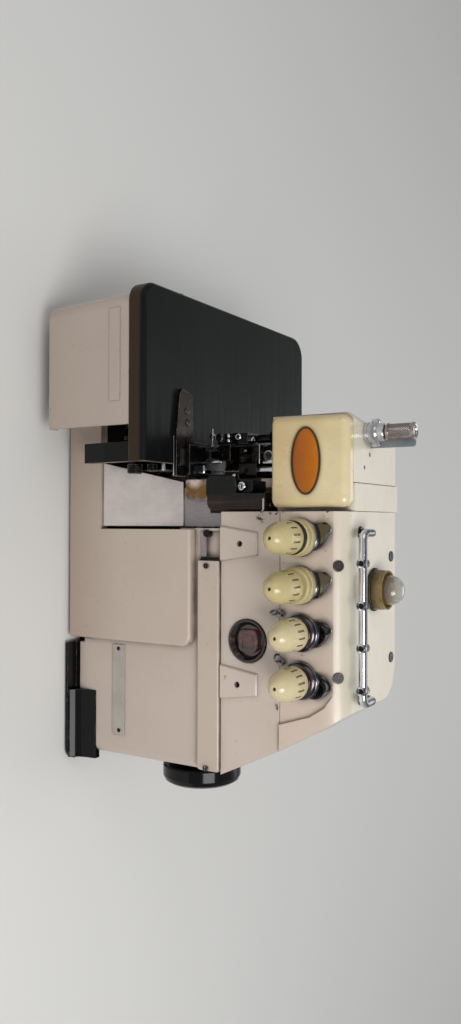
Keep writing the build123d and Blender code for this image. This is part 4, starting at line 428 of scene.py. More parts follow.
def amber_plastic():
    """Aged amber cup, browner and oilier towards its foot."""
    amber = Finish("amber_cup", tint(176, 150, 84), 0.12)
    low = amber.along("Z", 267, 274)
    base = amber.blend(low, tint(78, 58, 24), tint(190, 168, 112))
    cloud = amber.cloud((150, 5, 0.7), 0.45, 0.7, 0.0, 0.6)
    amber.colour(amber.blend(cloud, base, tint(86, 68, 34)))
    amber.gloss(amber.cloud((200, 4), 0.3, 0.8, 0.06, 0.25))
    amber.setting("Transmission Weight", 0.55)
    amber.setting("IOR", CLEAR_INDEX)
    amber.bump(amber.noise(240, 3), 0.06, 0.3)
    return amber.material


def knurled_plating():
    """Chrome with a crossed knurl round its sleeve, rusty in the cuts."""
    chrome = Finish("knurled_chrome", tint(170, 166, 166), 0.2, 1.0)
    split = chrome.node("SeparateXYZ")
    centred = chrome.node("Mapping")
    centred.inputs["Location"].default_value = (-ROD_X * MM, -ROD_Y * MM, 0)
    chrome.join(chrome.place, centred.inputs["Vector"])
    chrome.join(centred.outputs["Vector"], split.inputs["Vector"])
    around = chrome.maths("ARCTAN2", split.outputs["Y"], split.outputs["X"])
    cuts = []
    for way in (1.0, -1.0):
        slant = chrome.times(split.outputs["Z"], way * KNURL_SLANT)
        cuts.append(chrome.maths("SINE", chrome.maths("ADD", chrome.times(around, KNURL_CUTS), slant)))
    height = chrome.maths("MINIMUM", cuts[0], cuts[1])
    low = chrome.band(split.outputs["Z"], 281.6 * MM, 282.4 * MM)
    high = chrome.band(split.outputs["Z"], 299.4 * MM, 300.2 * MM, 1.0, 0.0)
    inside = chrome.times(low, high)
    relief = chrome.times(chrome.band(height, -1.0, 0.4), inside)
    valley = chrome.times(chrome.band(height, -0.9, 0.1, 1.0, 0.0), inside)
    patch = chrome.cloud((110, 4, 0.7), 0.3, 0.6, 0.35, 1.0)
    base = chrome.blend(chrome.times(valley, patch), tint(176, 170, 168), tint(92, 66, 58))
    pits = chrome.cloud((420, 3, 0.6), 0.66, 0.75, 0.0, 0.7)
    chrome.colour(chrome.blend(pits, base, tint(70, 56, 46)))
    chrome.gloss(chrome.band(valley, 0.0, 1.0, 0.14, 0.5))
    chrome.bump(relief, 0.8, 0.35, 0.3)
    return chrome.material


def olive_rim():
    """Dark olive metal rim of the oval, rubbed lighter on its crest."""
    rim = Finish("rim_olive", tint(70, 56, 28), 0.3, 0.4)
    rubbed = rim.times(rim.edges(0.4, 0.02, 0.15), rim.cloud((160, 4), 0.35, 0.6))
    base = rim.blend(rubbed, tint(64, 50, 26), tint(128, 104, 58))
    rim.colour(base)
    rim.bump(rim.noise(400, 3), 0.08, 0.2)
    return rim.material


def guard_finish():
    """Deep gloss brown enamel of the knife guard, black on its low wing."""
    guard = Finish("guard_gloss", tint(36, 25, 21), 0.12)
    right = guard.along("X", -43, -37)
    cloud = guard.band(guard.noise(70, 5, 0.65, distortion=0.5), 0.35, 0.7)
    streak = guard.noise(260, 3, 0.6, place=guard.stretch((1.0, 1.0, 0.05)))
    brown = guard.blend(cloud, tint(50, 31, 24), tint(26, 18, 14))
    brown = guard.blend(guard.band(streak, 0.55, 0.72, 0.0, 0.7), brown, tint(74, 56, 46))
    base = guard.blend(right, tint(6, 6, 7), brown)
    lint = guard.cloud((240, 4, 0.7), 0.64, 0.72, 0.0, 0.4)
    base = guard.blend(lint, base, tint(96, 88, 82))
    # Wear and painted highlight: edges turn pale brown-grey in patches.
    wear_and_highlight = guard.times(guard.edges(0.6, 0.03, 0.2), guard.cloud((90, 4), 0.4, 0.6))
    guard.colour(guard.blend(wear_and_highlight, base, tint(120, 108, 100)))
    guard.gloss(guard.cloud((120, 4, 0.7), 0.35, 0.75, 0.08, 0.35))
    guard.setting("Specular IOR Level", 0.22)
    guard.coat(0.12, 0.05)
    guard.bump(guard.noise(45, 3), 0.12, 0.8, 0.6)
    return guard.material


FRONT_CREAM = tint(206, 190, 177)
TOP_CREAM = tint(219, 211, 191)
PANEL_KNOCKS = (((-25.5, -85, 203), 9), ((-24, -85, 193), 6), ((120, -85, 209), 5), ((100, -86, 160), 5))
TOP_KNOCKS = (((71, -85, 236), 4.5), ((78, -85, 229), 3), ((11, -85, 211), 4), ((-27, -87, 250), 6),
              ((-27, -85, 214), 7))
# Painted shade: the shade bands darken the body cream towards the floor, and turn the top cream darker and
# pinker on the front face below its ridge.
body_paint = cream_enamel("body_cream", tint(197, 180, 166), shade=(8, 60, tint(170, 153, 138)))
top_paint = cream_enamel("top_cream", TOP_CREAM, TOP_KNOCKS, shade=(250, 263.5, tint(208, 190, 175)))
tray_black = black_enamel("tray_black", 0.22)
dull_steel = stained_plate()
shaft_steel = bright_steel("shaft_steel", tint(176, 174, 172), 0.26, (1.0, 0.1, 0.1))
bar_steel = bright_steel("bar_steel", tint(196, 196, 198), 0.16, (0.1, 0.1, 1.0))
works_black = oily_steel("works_black", tint(20, 20, 21), 0.2)
works_brown = oily_steel("works_brown", tint(40, 33, 29), 0.26)
bright_chrome = plating("bright_chrome", tint(206, 207, 211))
bar_chrome = bar_plating()
# Painted reflection: the two chromes below are darker copies of the bright chrome, standing in for the dark
# surroundings that the real parts reflect.
chrome_darkened_for_reflection = plating("chrome_darkened_for_reflection", tint(92, 86, 88), 0.14)
chrome_dimmed_for_reflection = plating("chrome_dimmed_for_reflection", tint(138, 136, 140), 0.09)
cover_plastic = yellowed_plastic("cover_plastic", tint(228, 212, 170), tint(206, 184, 136), brown_foot=True)
knob_plastic = yellowed_plastic("knob_plastic", tint(200, 187, 138), tint(180, 160, 104))
knob_pale = yellowed_plastic("knob_pale", tint(212, 199, 160), tint(196, 178, 132))
rubber_black = clouded("cushion_rubber", tint(30, 30, 30), 0.8, tint(26, 26, 26), tint(96, 92, 86),
                       (200, 5, 0.7), (0.45, 0.8, 0.0, 0.5), (900, 3), (0.3, 0.3, 0.5))
oval_orange = orange_enamel()
clear_dome = dome_clear()
cloudy_strip = clouded("cloudy_strip", tint(126, 134, 140), 0.3, tint(122, 132, 138), tint(160, 164, 164),
                       (60, 4), (0.3, 0.7), (300, 2), (0.05, 0.2), clear=0.35)
lens_dark = clouded("lens_dark", tint(46, 22, 20), 0.08, tint(40, 22, 20), tint(112, 50, 45),
                    (90, 4, 0.6), (0.4, 0.75), (200, 2), (0.05, 0.2, 0.5), coat=(1.0, 0.03))
bezel_dark = clouded("bezel_brown", tint(34, 24, 22), 0.14, tint(14, 9, 9), tint(34, 21, 19),
                     (80, 4), (0.35, 0.7), (400, 2), (0.05, 0.2, 0.5), coat=(0.5, 0.05))
amber_cup = amber_plastic()
dark_oil = clouded("dark_oil", tint(70, 56, 30), 0.18, tint(92, 74, 38), tint(40, 31, 18),
                   (180, 5, 0.7), (0.35, 0.7), (260, 3), (0.1, 0.3))
knurled_chrome = knurled_plating()
rim_olive = olive_rim()

FINISHES = (
    (burnished_plate(), "cloth_plate"),
    # Painted shade: the side cover gets its own darker copy of the cream, for the shade it lies in, and a
    # shade band towards the floor.
    (cream_enamel("side_cream_shaded", tint(186, 170, 158), shade=(6, 70, tint(172, 156, 143))), "side_cover"),
    (works_black, "latch_bracket body_screws needle_clamp presser_rod presser_arm lift_lever "
                  "presser_foot lower_knife knife_holder lower_looper upper_looper main_feed_dog "
                  "front_feed_dog"),
    (tray_black, "latch_lever base_tray stitch_button"),
    (rubber_black, "rubber_feet dome_gasket"),
    (cream_enamel("case_cream", tint(199, 183, 170), bay=True), "machine_frame"),
    (bronze_finish(), "shaft_bushes"),
    (shaft_steel, "main_shaft hinge_pins cover_sleeves tension_posts presser_shaft"),
    (black_enamel("wheel_black", 0.12), "handwheel"),
    (body_paint, "front_cover strip_cover upper_frame"),
    (bright_steel("chute_steel", tint(238, 226, 222), 0.36, (1.0, 0.08, 0.05), 0.5), "chip_chute"),
    (dull_steel, "chute_back"),
    (bright_steel("strip_metal", tint(202, 195, 187), 0.42, (0.05, 1.0, 1.0), 0.25), "blank_strip"),
    (cream_enamel("panel_cream", FRONT_CREAM, knocks=PANEL_KNOCKS), "front_panel"),
    (bezel_dark, "window_bezel"),
    (lens_dark, "window_lens"),
    (top_paint, "top_cover head_casting head_cover"),
    (clear_dome, "oil_dome"),
    (bar_chrome, "thread_guide_bar"),
    (knob_plastic, "tension_rings tension_knob_1 tension_knob_2 tension_knob_3 tension_knob_4"),
    (chrome_darkened_for_reflection, "tension_discs"),
    (bar_steel, "tension_springs needle_bar"),
    (bright_chrome, "thread_horns pressure_screw lock_nut needle"),
    (cover_plastic, "face_cover"),
    (oval_orange, "badge"),
    (cloudy_strip, "thread_strip"),
    (works_brown, "needle_plate"),
    (bright_steel("knife_steel", tint(188, 188, 190), 0.22, (1.0, 1.0, 0.08)), "upper_knife"),
    (guard_finish(), "knife_guard"),
)


def paint(piece, material):
    """Gives a piece its one material."""
    piece.data.materials.clear()
    piece.data.materials.append(material)


for material, names in FINISHES:
    for name in names.split():
        paint(nodes[name], material)


# Modelling
UP = (0, 0, 1)
RIGHT = (1, 0, 0)
FRONT = (0, -1, 0)


def begin():
    """Drops the selection, so that the next operator acts on the new piece alone."""
    bpy.ops.object.select_all(action="DESELECT")


def started(name):
    """Names a blank, puts its place in its mesh and opens it for shaping."""
    piece = bpy.context.active_object
    piece.name = name
    piece.data.name = name
    bpy.ops.object.transform_apply(location=True, rotation=True, scale=True)
    bpy.ops.object.mode_set(mode="EDIT")
    bpy.context.tool_settings.mesh_select_mode = (True, False, False)
    bpy.ops.mesh.select_all(action="DESELECT")
    return piece


def everything():
    bpy.ops.mesh.select_all(action="SELECT")


def pick(kind, wanted):
    """Selects the verts, edges or faces whose middle, in millimetres, and normal pass a test."""
    bpy.context.tool_settings.mesh_select_mode = tuple(kind == k for k in ("verts", "edges", "faces"))
    bpy.ops.mesh.select_all(action="DESELECT")
    mesh = bmesh.from_edit_mesh(bpy.context.active_object.data)
    for part in getattr(mesh, kind):
        if kind == "faces":
            middle, facing = part.calc_center_median(), part.normal
        elif kind == "edges":
            middle, facing = (part.verts[0].co + part.verts[1].co) / 2, part.verts[1].co - part.verts[0].co
        else:
            middle, facing = part.co, part.normal
        if wanted(middle / MM, facing):
            part.select_set(True)
    mesh.select_flush_mode()
    bmesh.update_edit_mesh(bpy.context.active_object.data)


def block_blank(name, low, high):
    """A block blank between two corners in millimetres."""
    begin()
    low, high = Vector(low) * MM, Vector(high) * MM
    bpy.ops.mesh.primitive_cube_add(size=1, location=(low + high) / 2)
    bpy.context.active_object.scale = high - low
    return started(name)


def turned(name, outline, centre, axis=UP, side=RIGHT, steps=48):
    """A turned piece: its outline is drawn point by point, then spun round its axis."""
    axis = Vector(axis).normalized()
    side = Vector(side).normalized()
    middle = Vector(centre) * MM
    places = [middle + (side * radius + axis * height) * MM for radius, height in outline]
    begin()
    bpy.ops.mesh.primitive_plane_add(size=MM, location=places[0])
    piece = started(name)
    everything()
    bpy.ops.mesh.merge(type="CENTER")
    for start, end in zip(places, places[1:]):
        bpy.ops.mesh.extrude_vertices_move(TRANSFORM_OT_translate={"value": end - start})
    everything()
    bpy.ops.mesh.spin(steps=steps, angle=2 * pi, center=middle, axis=axis)
    everything()
    bpy.ops.mesh.remove_doubles(threshold=0.00001)
    bpy.ops.mesh.normals_make_consistent(inside=False)
    return piece


def lathed(name, outline, centre, axis=UP, side=RIGHT, steps=48, angle=38.0):
    """A turned piece, closed and smooth."""
    return closed(turned(name, outline, centre, axis, side, steps), angle=angle)


def push(faces_out):
    """Extrudes what is selected along its normals, in millimetres."""
    bpy.ops.mesh.extrude_region_shrink_fatten(TRANSFORM_OT_shrink_fatten={"value": faces_out * MM})


def draw_out(across, back, up):
    """Extrudes what is selected by a step in millimetres."""
    bpy.ops.mesh.extrude_region_move(TRANSFORM_OT_translate={"value": Vector((across, back, up)) * MM})


def step_in(rim, out):
    """Leaves a rim round what is selected, and moves the rest in or out, in millimetres."""
    bpy.ops.mesh.inset(thickness=rim * MM)
    push(out)


def pick_facing(way):
    """Selects the faces that look one way."""
    pick("faces", lambda place, facing: facing.dot(Vector(way)) > 0.9)


def round_corners(radius, segments, above=0.0):
    """Rounds the edges that run front to back above a height."""
    pick("edges", lambda place, along: place.z > above and abs(along.normalized().y) > 0.9)
    bpy.ops.mesh.bevel(offset=radius * MM, segments=segments, affect="EDGES")


def pocket(rim, depth):
    """Sinks the front faces inside a rim, in millimetres."""
    pick_facing(FRONT)
    step_in(rim, -depth)


def applied(piece, kind, **values):
    """Adds a modifier, sets it and applies it."""
    modifier = piece.modifiers.new(kind.lower(), kind)
    for key, value in values.items():
        setattr(modifier, key, value)
    bpy.ops.object.modifier_apply(modifier=modifier.name)


def closed(piece, edge=0.0, angle=38.0):
    """Leaves edit mode, softens the edges and smooths the shading."""
    bpy.ops.object.mode_set(mode="OBJECT")
    if edge:
        applied(piece, "BEVEL", width=edge * MM, segments=2, limit_method="ANGLE", angle_limit=radians(30))
    bpy.ops.object.shade_smooth_by_angle(angle=radians(angle))
    return piece


def fitted(piece, material, body="machine", stands_for=()):
    """Gives a finished piece its finish and the body it rides on."""
    paint(piece, material)
    if stands_for:
        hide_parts(*stands_for)
    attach(piece, body)
    return piece


def copied(piece, name, shift, turn=(0, 0, 0)):
    """A copy with its own mesh, turned about the origin and moved in millimetres."""
    begin()
    piece.select_set(True)
    bpy.context.view_layer.objects.active = piece
    bpy.ops.object.duplicate(linked=False)
    other = bpy.context.active_object
    other.name = name
    other.data.name = name
    other.rotation_euler = turn
    other.location = Vector(shift) * MM
    bpy.ops.object.transform_apply(location=True, rotation=True, scale=True)
    return other


def joined(name, pieces):
    """Several finished pieces made one."""
    begin()
    for piece in pieces:
        piece.select_set(True)
    bpy.context.view_layer.objects.active = pieces[0]
    bpy.ops.object.join()
    whole = bpy.context.active_object
    whole.name = name
    whole.data.name = name
    return whole


# Tensions
HORN_TURNS = (-2.0, 0.0, 3.0, 16.0)
KNOB_STEPS = 84
KNOB_LENGTH = 30.0
KNOB_TURN = 9


def horn():
    """One pressed thread horn round a post at the origin: a fin that curls forward to a blunt tip."""
    begin()
    bpy.ops.mesh.primitive_circle_add(vertices=64, radius=13.7 * MM, rotation=(pi / 2, 0, 0))
    piece = started("horn_blank")
    pick("verts", lambda place, facing: place.z < 8.2 or place.x < -10.9)
    bpy.ops.mesh.delete(type="VERT")
    everything()
    rows = ((0.0, -0.6, 3.6, 0.98), (-0.2, -1.2, 3.8, 0.94), (-0.3, -1.7, 3.5, 0.88),
            (-0.4, -1.9, 2.6, 0.8), (-0.3, -1.3, 1.3, 0.68))
    anchor = Vector((-9.8, 0, 0)) * MM
    for across, forward, up, share in rows:
        draw_out(across, forward, up)
        bpy.ops.transform.resize(value=(share, 1, 1), center_override=anchor)
    closed(piece)
    applied(piece, "SOLIDIFY", thickness=0.9 * MM, offset=0)
    applied(piece, "SUBSURF", levels=2, render_levels=2)
    bpy.ops.object.shade_smooth_by_angle(angle=radians(60))
    return piece


def tension_metal():
    """Horns with their bright bands, and the polished disc cups behind the third and fourth knobs."""
    fin = horn()
    band = lathed("band_blank", [
        (12.9, -0.1), (14.1, -0.1), (14.6, -0.7), (14.4, -1.7), (13.7, -2.1), (12.9, -1.4), (12.9, -0.1)],
        (0, 0, 0), (0, 1, 0), steps=64)
    whole = joined("horn_and_band", [fin, band])
    for number, (x, lean) in enumerate(zip(TENSION_X, HORN_TURNS)):
        seat = (x, PANEL_FACE - 0.8, TENSION_Z)
        made = copied(whole, f"thread_horn_{number + 1}", seat, (0, radians(lean), 0))
        fitted(made, chrome_dimmed_for_reflection)
    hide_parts("thread_horns")
    bpy.data.objects.remove(whole)
    cup = lathed("cup_blank", [
        (3.2, -2.0), (13.4, -2.0), (14.0, -2.5), (13.9, -3.3), (13.3, -4.6), (11.8, -5.6), (9.5, -6.1),
        (3.2, -6.2), (3.2, -2.0)], (0, 0, 0), (0, 1, 0), steps=64)
    for number in (2, 3):
        made = copied(cup, f"disc_cup_{number + 1}", (TENSION_X[number], PANEL_FACE, TENSION_Z))
        fitted(made, chrome_darkened_for_reflection)
    bpy.data.objects.remove(cup)


def thread_eye():
    """A thread eye on a short stem, standing under a tension."""
    ring = lathed("eye_ring", [
        (2.0, 0.8), (2.9, 0.9), (3.6, 0.0), (2.9, -0.9), (2.0, -0.8), (1.7, 0.0), (2.0, 0.8)],
        (0, -3.4, 0), (1, 0.5, 0), UP, steps=32, angle=60)
    stem = lathed("eye_stem", [
        (0, 0.6), (3.0, 0.5), (3.3, -0.4), (2.6, -1.1), (1.2, -1.4), (1.0, -2.6), (0, -2.8)], (0, 0, 3.2),
        (0, 1, 0), steps=24)
    return joined("thread_eye", [ring, stem])


def thread_eyes():
    """Two thread eyes at the seam under the third and fourth tensions."""
    eye = thread_eye()
    for number, (x, z, turn) in enumerate(((48.4, 208.0, 12.0), (82.5, 211.0, 74.0))):
        made = copied(eye, f"thread_eye_{number + 1}", (x, PANEL_FACE - 2.2, z), (0, radians(turn), 0))
        fitted(made, chrome_dimmed_for_reflection)
    bpy.data.objects.remove(eye)


def knob_blank():
    """One bullet-shaped knob at the origin, its base at y = 0, with short slots round it."""
    outline = [(8.7, -0.1), (11.6, -0.1), (12.4, 0.4), (12.5, 1.2), (12.5, 4.4), (12.45, 5.2),
               (12.3, 11.4), (12.2, 12.2), (11.9, 14.6), (11.4, 17.4), (10.6, 20.2), (9.5, 22.8),
               (8.0, 25.2), (6.2, 27.4), (4.4, 29.0), (2.8, 29.8), (1.5, 30.0), (1.2, 29.6),
               (1.1, 26.0), (0, 26.0)]
    knob = turned("knob_blank", outline, (0, 0, 0), FRONT, UP, steps=KNOB_STEPS)
    slots = [2 * pi * (k + 0.5) / KNOB_STEPS for k in range(KNOB_STEPS) if k % 6 < 2]

    def in_slot(place, facing):
        round_axis = Vector((1, 0)).angle_signed(Vector((place.x, place.z)), 0.0)
        around = (pi / 2 - 0.0001 + round_axis) % (2 * pi)
        return 5.2 < -place.y < 14.4 and place.xz.length > 11 and any(abs(around - s) < 0.02 for s in slots)

    pick("faces", in_slot)
    step_in(0.12, -1.3)
    return closed(knob, edge=0.25, angle=40)


def knobs():
    """Four cream knobs, and a dark ring behind the first that paints the shade of the gap there."""
    blank = knob_blank()
    for number, (x, tip) in enumerate(zip(TENSION_X, KNOB_TIPS_Y), 1):
        seat = (x, tip + KNOB_LENGTH, TENSION_Z)
        made = copied(blank, f"knob_{number}", seat, (0, radians(KNOB_TURN * number), 0))
        material = knob_plastic if number < 3 else knob_pale
        fitted(made, material, f"knob_{number}", (f"tension_knob_{number}",))
    bpy.data.objects.remove(blank)
    # Painted shade: a dark rubber ring fills the gap between the cream ring and the first knob.
    gap_shade_ring = lathed("dark_gap_shade_ring", [
        (6.9, 0.2), (12.6, 0.2), (12.9, 0.6), (12.7, 2.6), (12.0, 3.2), (6.9, 3.2), (6.9, 0.2)],
        (TENSION_X[0], -100.0, TENSION_Z), FRONT, UP)
    fitted(gap_shade_ring, rubber_black)


def mist_strip():
    """Upright cloudy strip behind the pressure screw, with a rounded top and a sunk back."""
    strip = block_blank("mist_strip", (-83.6, -36.0, 264.1), (-77.6, -34.7, 300.0))
    round_corners(2.4, 5, above=299)
    pick_facing((0, 0, -1))
    draw_out(0, 0, -0.05)
    pick("faces", lambda place, facing: facing.y > 0.9 and place.z > 270)
    step_in(0.6, -0.3)
    fitted(closed(strip, edge=0.25), cloudy_strip, "machine", ("thread_strip",))


# Oil dome
def dome():
    """Clear cap in a flared amber cup, with a dark oil ring round its foot."""
    arc = [(11.6 * cos(radians(a)), 11.4 + 11.6 * sin(radians(a))) for a in range(0, 91, 10)]
    inner = [(10.4 * cos(radians(a)), 11.4 + 10.4 * sin(radians(a))) for a in range(90, -1, -10)]
    inner[0] = (0.0, inner[0][1])
    arc[-1] = (0.0, arc[-1][1])
    cap = lathed("dome_cap", [(11.6, 3.0)] + arc, DOME_SEAT, angle=60)
    skin = lathed("dome_inside", inner + [(10.4, 3.0)], DOME_SEAT, angle=60)
    bpy.ops.object.mode_set(mode="EDIT")
    everything()
    bpy.ops.mesh.normals_make_consistent(inside=True)
    bpy.ops.object.mode_set(mode="OBJECT")
    cap = joined("dome_cap", [cap, skin])
    bpy.ops.object.mode_set(mode="EDIT")
    pick("verts", lambda place, facing: abs(place.z - DOME_SEAT[2] - 3.0) < 0.01)
    bpy.ops.mesh.bridge_edge_loops()
    bpy.ops.object.mode_set(mode="OBJECT")
    fitted(cap, clear_dome, "machine", ("oil_dome",))
    cup = lathed("dome_cup", [
        (12.2, 1.2), (15.2, 1.2), (15.6, 1.8), (15.5, 6.5), (14.9, 8.6), (15.3, 9.4), (15.2, 10.2),
        (14.4, 10.5), (13.7, 10.0), (13.5, 8.6), (13.4, 3.0), (12.2, 2.4), (12.2, 1.2)],
        DOME_SEAT, angle=30)
    fitted(cup, amber_cup)
    oil = lathed("dome_oil", [
        (0, 0.1), (14.6, 0.1), (15.9, 0.3), (16.0, 1.0), (15.2, 1.2), (12.0, 1.3), (9.9, 2.2), (9.8, 4.4),
        (0, 4.6)], DOME_SEAT, angle=30)
    fitted(oil, dark_oil)


# Pressure screw and nut
def pressure_set():
    """Knurled sleeve with a bright rolled rim, over a stepped nut with two ears."""
    x, y, z = ROD_X, ROD_Y, HEAD_TOP
    sleeve = lathed("pressure_sleeve", [
        (0, 37.6), (3.6, 37.6), (4.3, 38.6), (5.6, 39.0), (6.5, 38.4), (6.6, 37.0), (6.1, 36.2),
        (6.05, 19.0), (6.6, 18.2), (6.6, 17.0), (5.9, 16.2), (4.3, 16.0), (4.3, -4.0), (0, -4.0)],
        (x, y, z), angle=30)
    fitted(sleeve, knurled_chrome, "pressure_knob", ("pressure_screw",))
    nut = lathed("nut_collar", [
        (4.6, 15.4), (6.4, 15.4), (6.9, 14.8), (6.9, 10.4), (6.2, 9.8), (7.0, 9.0), (7.4, 8.2),
        (7.4, 3.0), (8.2, 2.2), (8.2, 0.05), (4.6, 0.05), (4.6, 15.4)], (x, y, z), angle=30)
    ears = []
    for side in (-1, 1):
        ear_x = x + side * 8.6
        ear = block_blank("nut_ear", (ear_x - 1.6, y + 0.4, z + 3.4), (ear_x + 1.6, y + 3.6, z + 9.8))
        pick_facing((side, 0, 0))
        step_in(0.9, 0.5)
        ears.append(closed(ear, edge=0.7))
    fitted(joined("eared_nut", [nut] + ears), bright_chrome, "machine", ("lock_nut",))


# Guide bar
EYE_RIM = ((1.9, 3.4), (2.0, 4.4), (2.5, 4.9), (3.3, 4.7), (3.7, 3.8), (3.8, 1.6), (1.9, 1.6), (1.9, 3.4))
EYE_HOLE_SHADE = ((0, -3.9), (1.95, -3.9), (1.95, 3.9), (0, 3.9))
FOOT_COLLAR = ((3.2, 0.05), (4.9, 0.05), (5.0, 0.8), (4.4, 1.5), (3.2, 1.7), (3.2, 0.05))


def guide_eyes():
    """Turned-over rims of the four thread holes, a collar at each foot of the bar, and a black plug in each
    hole that paints its shade.
    """
    rims, hole_shades = [], []
    for x in BAR_HOLES_X:
        centre = (x, BAR_Y, BAR_Z)
        for side in (-1, 1):
            outline = [(radius, height * side) for radius, height in EYE_RIM]
            rims.append(lathed("eye_rim", outline, centre, (0, 1, 0), steps=24, angle=40))
        # Painted shade: a black plug fills each hole.
        hole_shades.append(lathed("eye_hole_shade", EYE_HOLE_SHADE, centre, (0, 1, 0), steps=20, angle=40))
    for foot in BAR_FEET:
        rims.append(lathed("foot_collar", FOOT_COLLAR, foot, steps=32, angle=40))
    fitted(joined("guide_eyes", rims), bar_chrome)
    fitted(joined("eye_hole_shades", hole_shades), works_black)


# Blank oval
def oval(name, wide, high, lift):
    """A flat oval on the leaning face of the cover."""
    begin()
    bpy.ops.mesh.primitive_circle_add(vertices=72, radius=1, fill_type="NGON", rotation=(OVAL_LEAN, 0, 0),
                                      location=(OVAL_MIDDLE + OVAL_OUTWARD * lift) * MM)
    bpy.context.active_object.scale = (wide / 2 * MM, high / 2 * MM, 1)
    piece = started(name)
    bpy.context.tool_settings.mesh_select_mode = (False, False, True)
    everything()
    return piece


def badge():
    """Dark rim round a crowned field of orange enamel."""
    rim = oval("badge_rim", 51.0, 23.0, 0.0)
    push(1.5)
    step_in(1.3, -0.7)
    fitted(closed(rim, edge=0.25), rim_olive)
    field = oval("badge_field", 48.2, 20.2, 0.3)
    push(0.7)
    middle = OVAL_MIDDLE + OVAL_OUTWARD
    for share, rise in ((0.94, 0.3), (0.9, 0.22), (0.8, 0.16), (0.6, 0.1), (0.3, 0.04)):
        middle = middle + OVAL_OUTWARD * rise
        draw_out(*(OVAL_OUTWARD * rise))
        bpy.ops.transform.resize(value=(share, share, share), center_override=middle * MM)
    fitted(closed(field), oval_orange, "machine", ("badge",))


# Window
def lens_frame():
    """Raised square rim on the lens, with a sunk middle."""
    frame_piece = block_blank("lens_frame", (63.9, -85.1, 173.4), (81.1, -84.0, 189.6))
    round_corners(4.2, 6)
    pocket(3.0, 0.8)
    step_in(1.0, 0.3)
    fitted(closed(frame_piece, edge=0.5), lens_dark)


# Needle works
GUIDE_KNOB = (-73.4, -46.4, 184.8)


def ribbed(name, centre, radius, width, axis, ribs):
    """A turned roller with square ribs round it."""
    outline = [(0, 0), (radius - 1.2, 0)]
    step = width / (2 * ribs)
    for k in range(ribs):
        outline += [(radius - 0.9, (2 * k + 0.2) * step), (radius, (2 * k + 0.5) * step),
                    (radius, (2 * k + 1.3) * step), (radius - 0.9, (2 * k + 1.6) * step)]
    outline += [(radius - 1.2, width), (0, width)]
    side = UP if abs(axis[2]) < 0.5 else RIGHT
    return lathed(name, outline, centre, axis, side, steps=32, angle=30)


def cap_screw(name, centre, radius, height, axis, socket=True):
    """A cap screw with a rolled rim and a socket or a crown."""
    outline = [(0, 0), (radius - 0.2, 0), (radius, 0.3), (radius, height - 0.5), (radius - 0.5, height)]
    if socket:
        outline += [(radius * 0.62, height), (radius * 0.55, height - 0.4), (radius * 0.5, height * 0.4),
                    (0, height * 0.35)]
    else:
        outline += [(radius * 0.6, height + 0.35), (0, height + 0.5)]
    side = UP if abs(axis[2]) < 0.5 else RIGHT
    return lathed(name, outline, centre, axis, side, steps=24, angle=30)


def works_bracket():
    """Black cast bracket behind the needle bar, with ribs, pockets and its fixing screws."""
    bracket = block_blank("works_bracket", (-83.4, -46, 137), (-56.2, -38, 205))
    everything()
    for height in (150, 163, 178, 192):
        bpy.ops.mesh.bisect(plane_co=Vector((0, 0, height)) * MM, plane_no=UP)
        everything()
    for across in (-76, -65.5):
        bpy.ops.mesh.bisect(plane_co=Vector((across, 0, 0)) * MM, plane_no=RIGHT)
        everything()
    pick("faces", lambda place, facing: (facing.y < -0.9 and place.z < 200
                                         and (place.z > 163 or place.x < -66)))
    bpy.ops.mesh.inset(thickness=1.1 * MM, use_individual=True)
    push(-1.4)
    pick("faces", lambda place, facing: facing.y < -0.9 and place.z < 163 and place.x > -65)
    push(1.6)
    step_in(1.3, -0.8)
    fitted(closed(bracket, edge=0.5), works_black)
    sleeve = lathed("rod_sleeve", [
        (3.9, 181), (5.6, 181), (6.2, 181.8), (6.2, 186), (5.4, 186.8), (5.4, 190), (6.6, 190.6),
        (6.6, 205), (3.9, 205), (3.9, 181)], (ROD_X, ROD_Y, 0))
    fitted(sleeve, works_black)
    knob = lathed("guide_knob", [
        (0, 0), (3.2, 0), (3.4, 0.6), (3.4, 12.6), (2.9, 13.2), (2.2, 13.2), (1.9, 12.6), (0, 12.4)],
        GUIDE_KNOB, FRONT, UP, 28)
    fitted(knob, works_brown)
    ring = lathed("guide_ring", [
        (3.45, 10.6), (4.2, 10.8), (4.4, 11.6), (4.0, 12.4), (3.45, 12.4), (3.45, 10.6)],
        GUIDE_KNOB, FRONT, UP, 28)
    guide = closed(block_blank("guide_block", (-70.0, -61.5, 181.2), (-66.9, -46.2, 204.5)), edge=0.6)
    lip = block_blank("guide_plate", (-82.2, -62.5, 178.4), (-66.8, -45.5, 179.3))
    pick_facing(FRONT)
    draw_out(0, -0.8, 0.5)
    closed(lip, edge=0.2)
    fitted(joined("bar_guide", [ring, guide, lip]), bar_steel)
    places = ((-70.8, 170.5, True), (-61.0, 198.0, False), (-79.6, 157.0, False), (-70.8, 143.5, True))
    screws = [cap_screw("bracket_screw", (x, -46.6, z), 2.5, 3.0, FRONT, socket)
              for x, z, socket in places]
    fitted(joined("bracket_screws", screws), chrome_darkened_for_reflection)


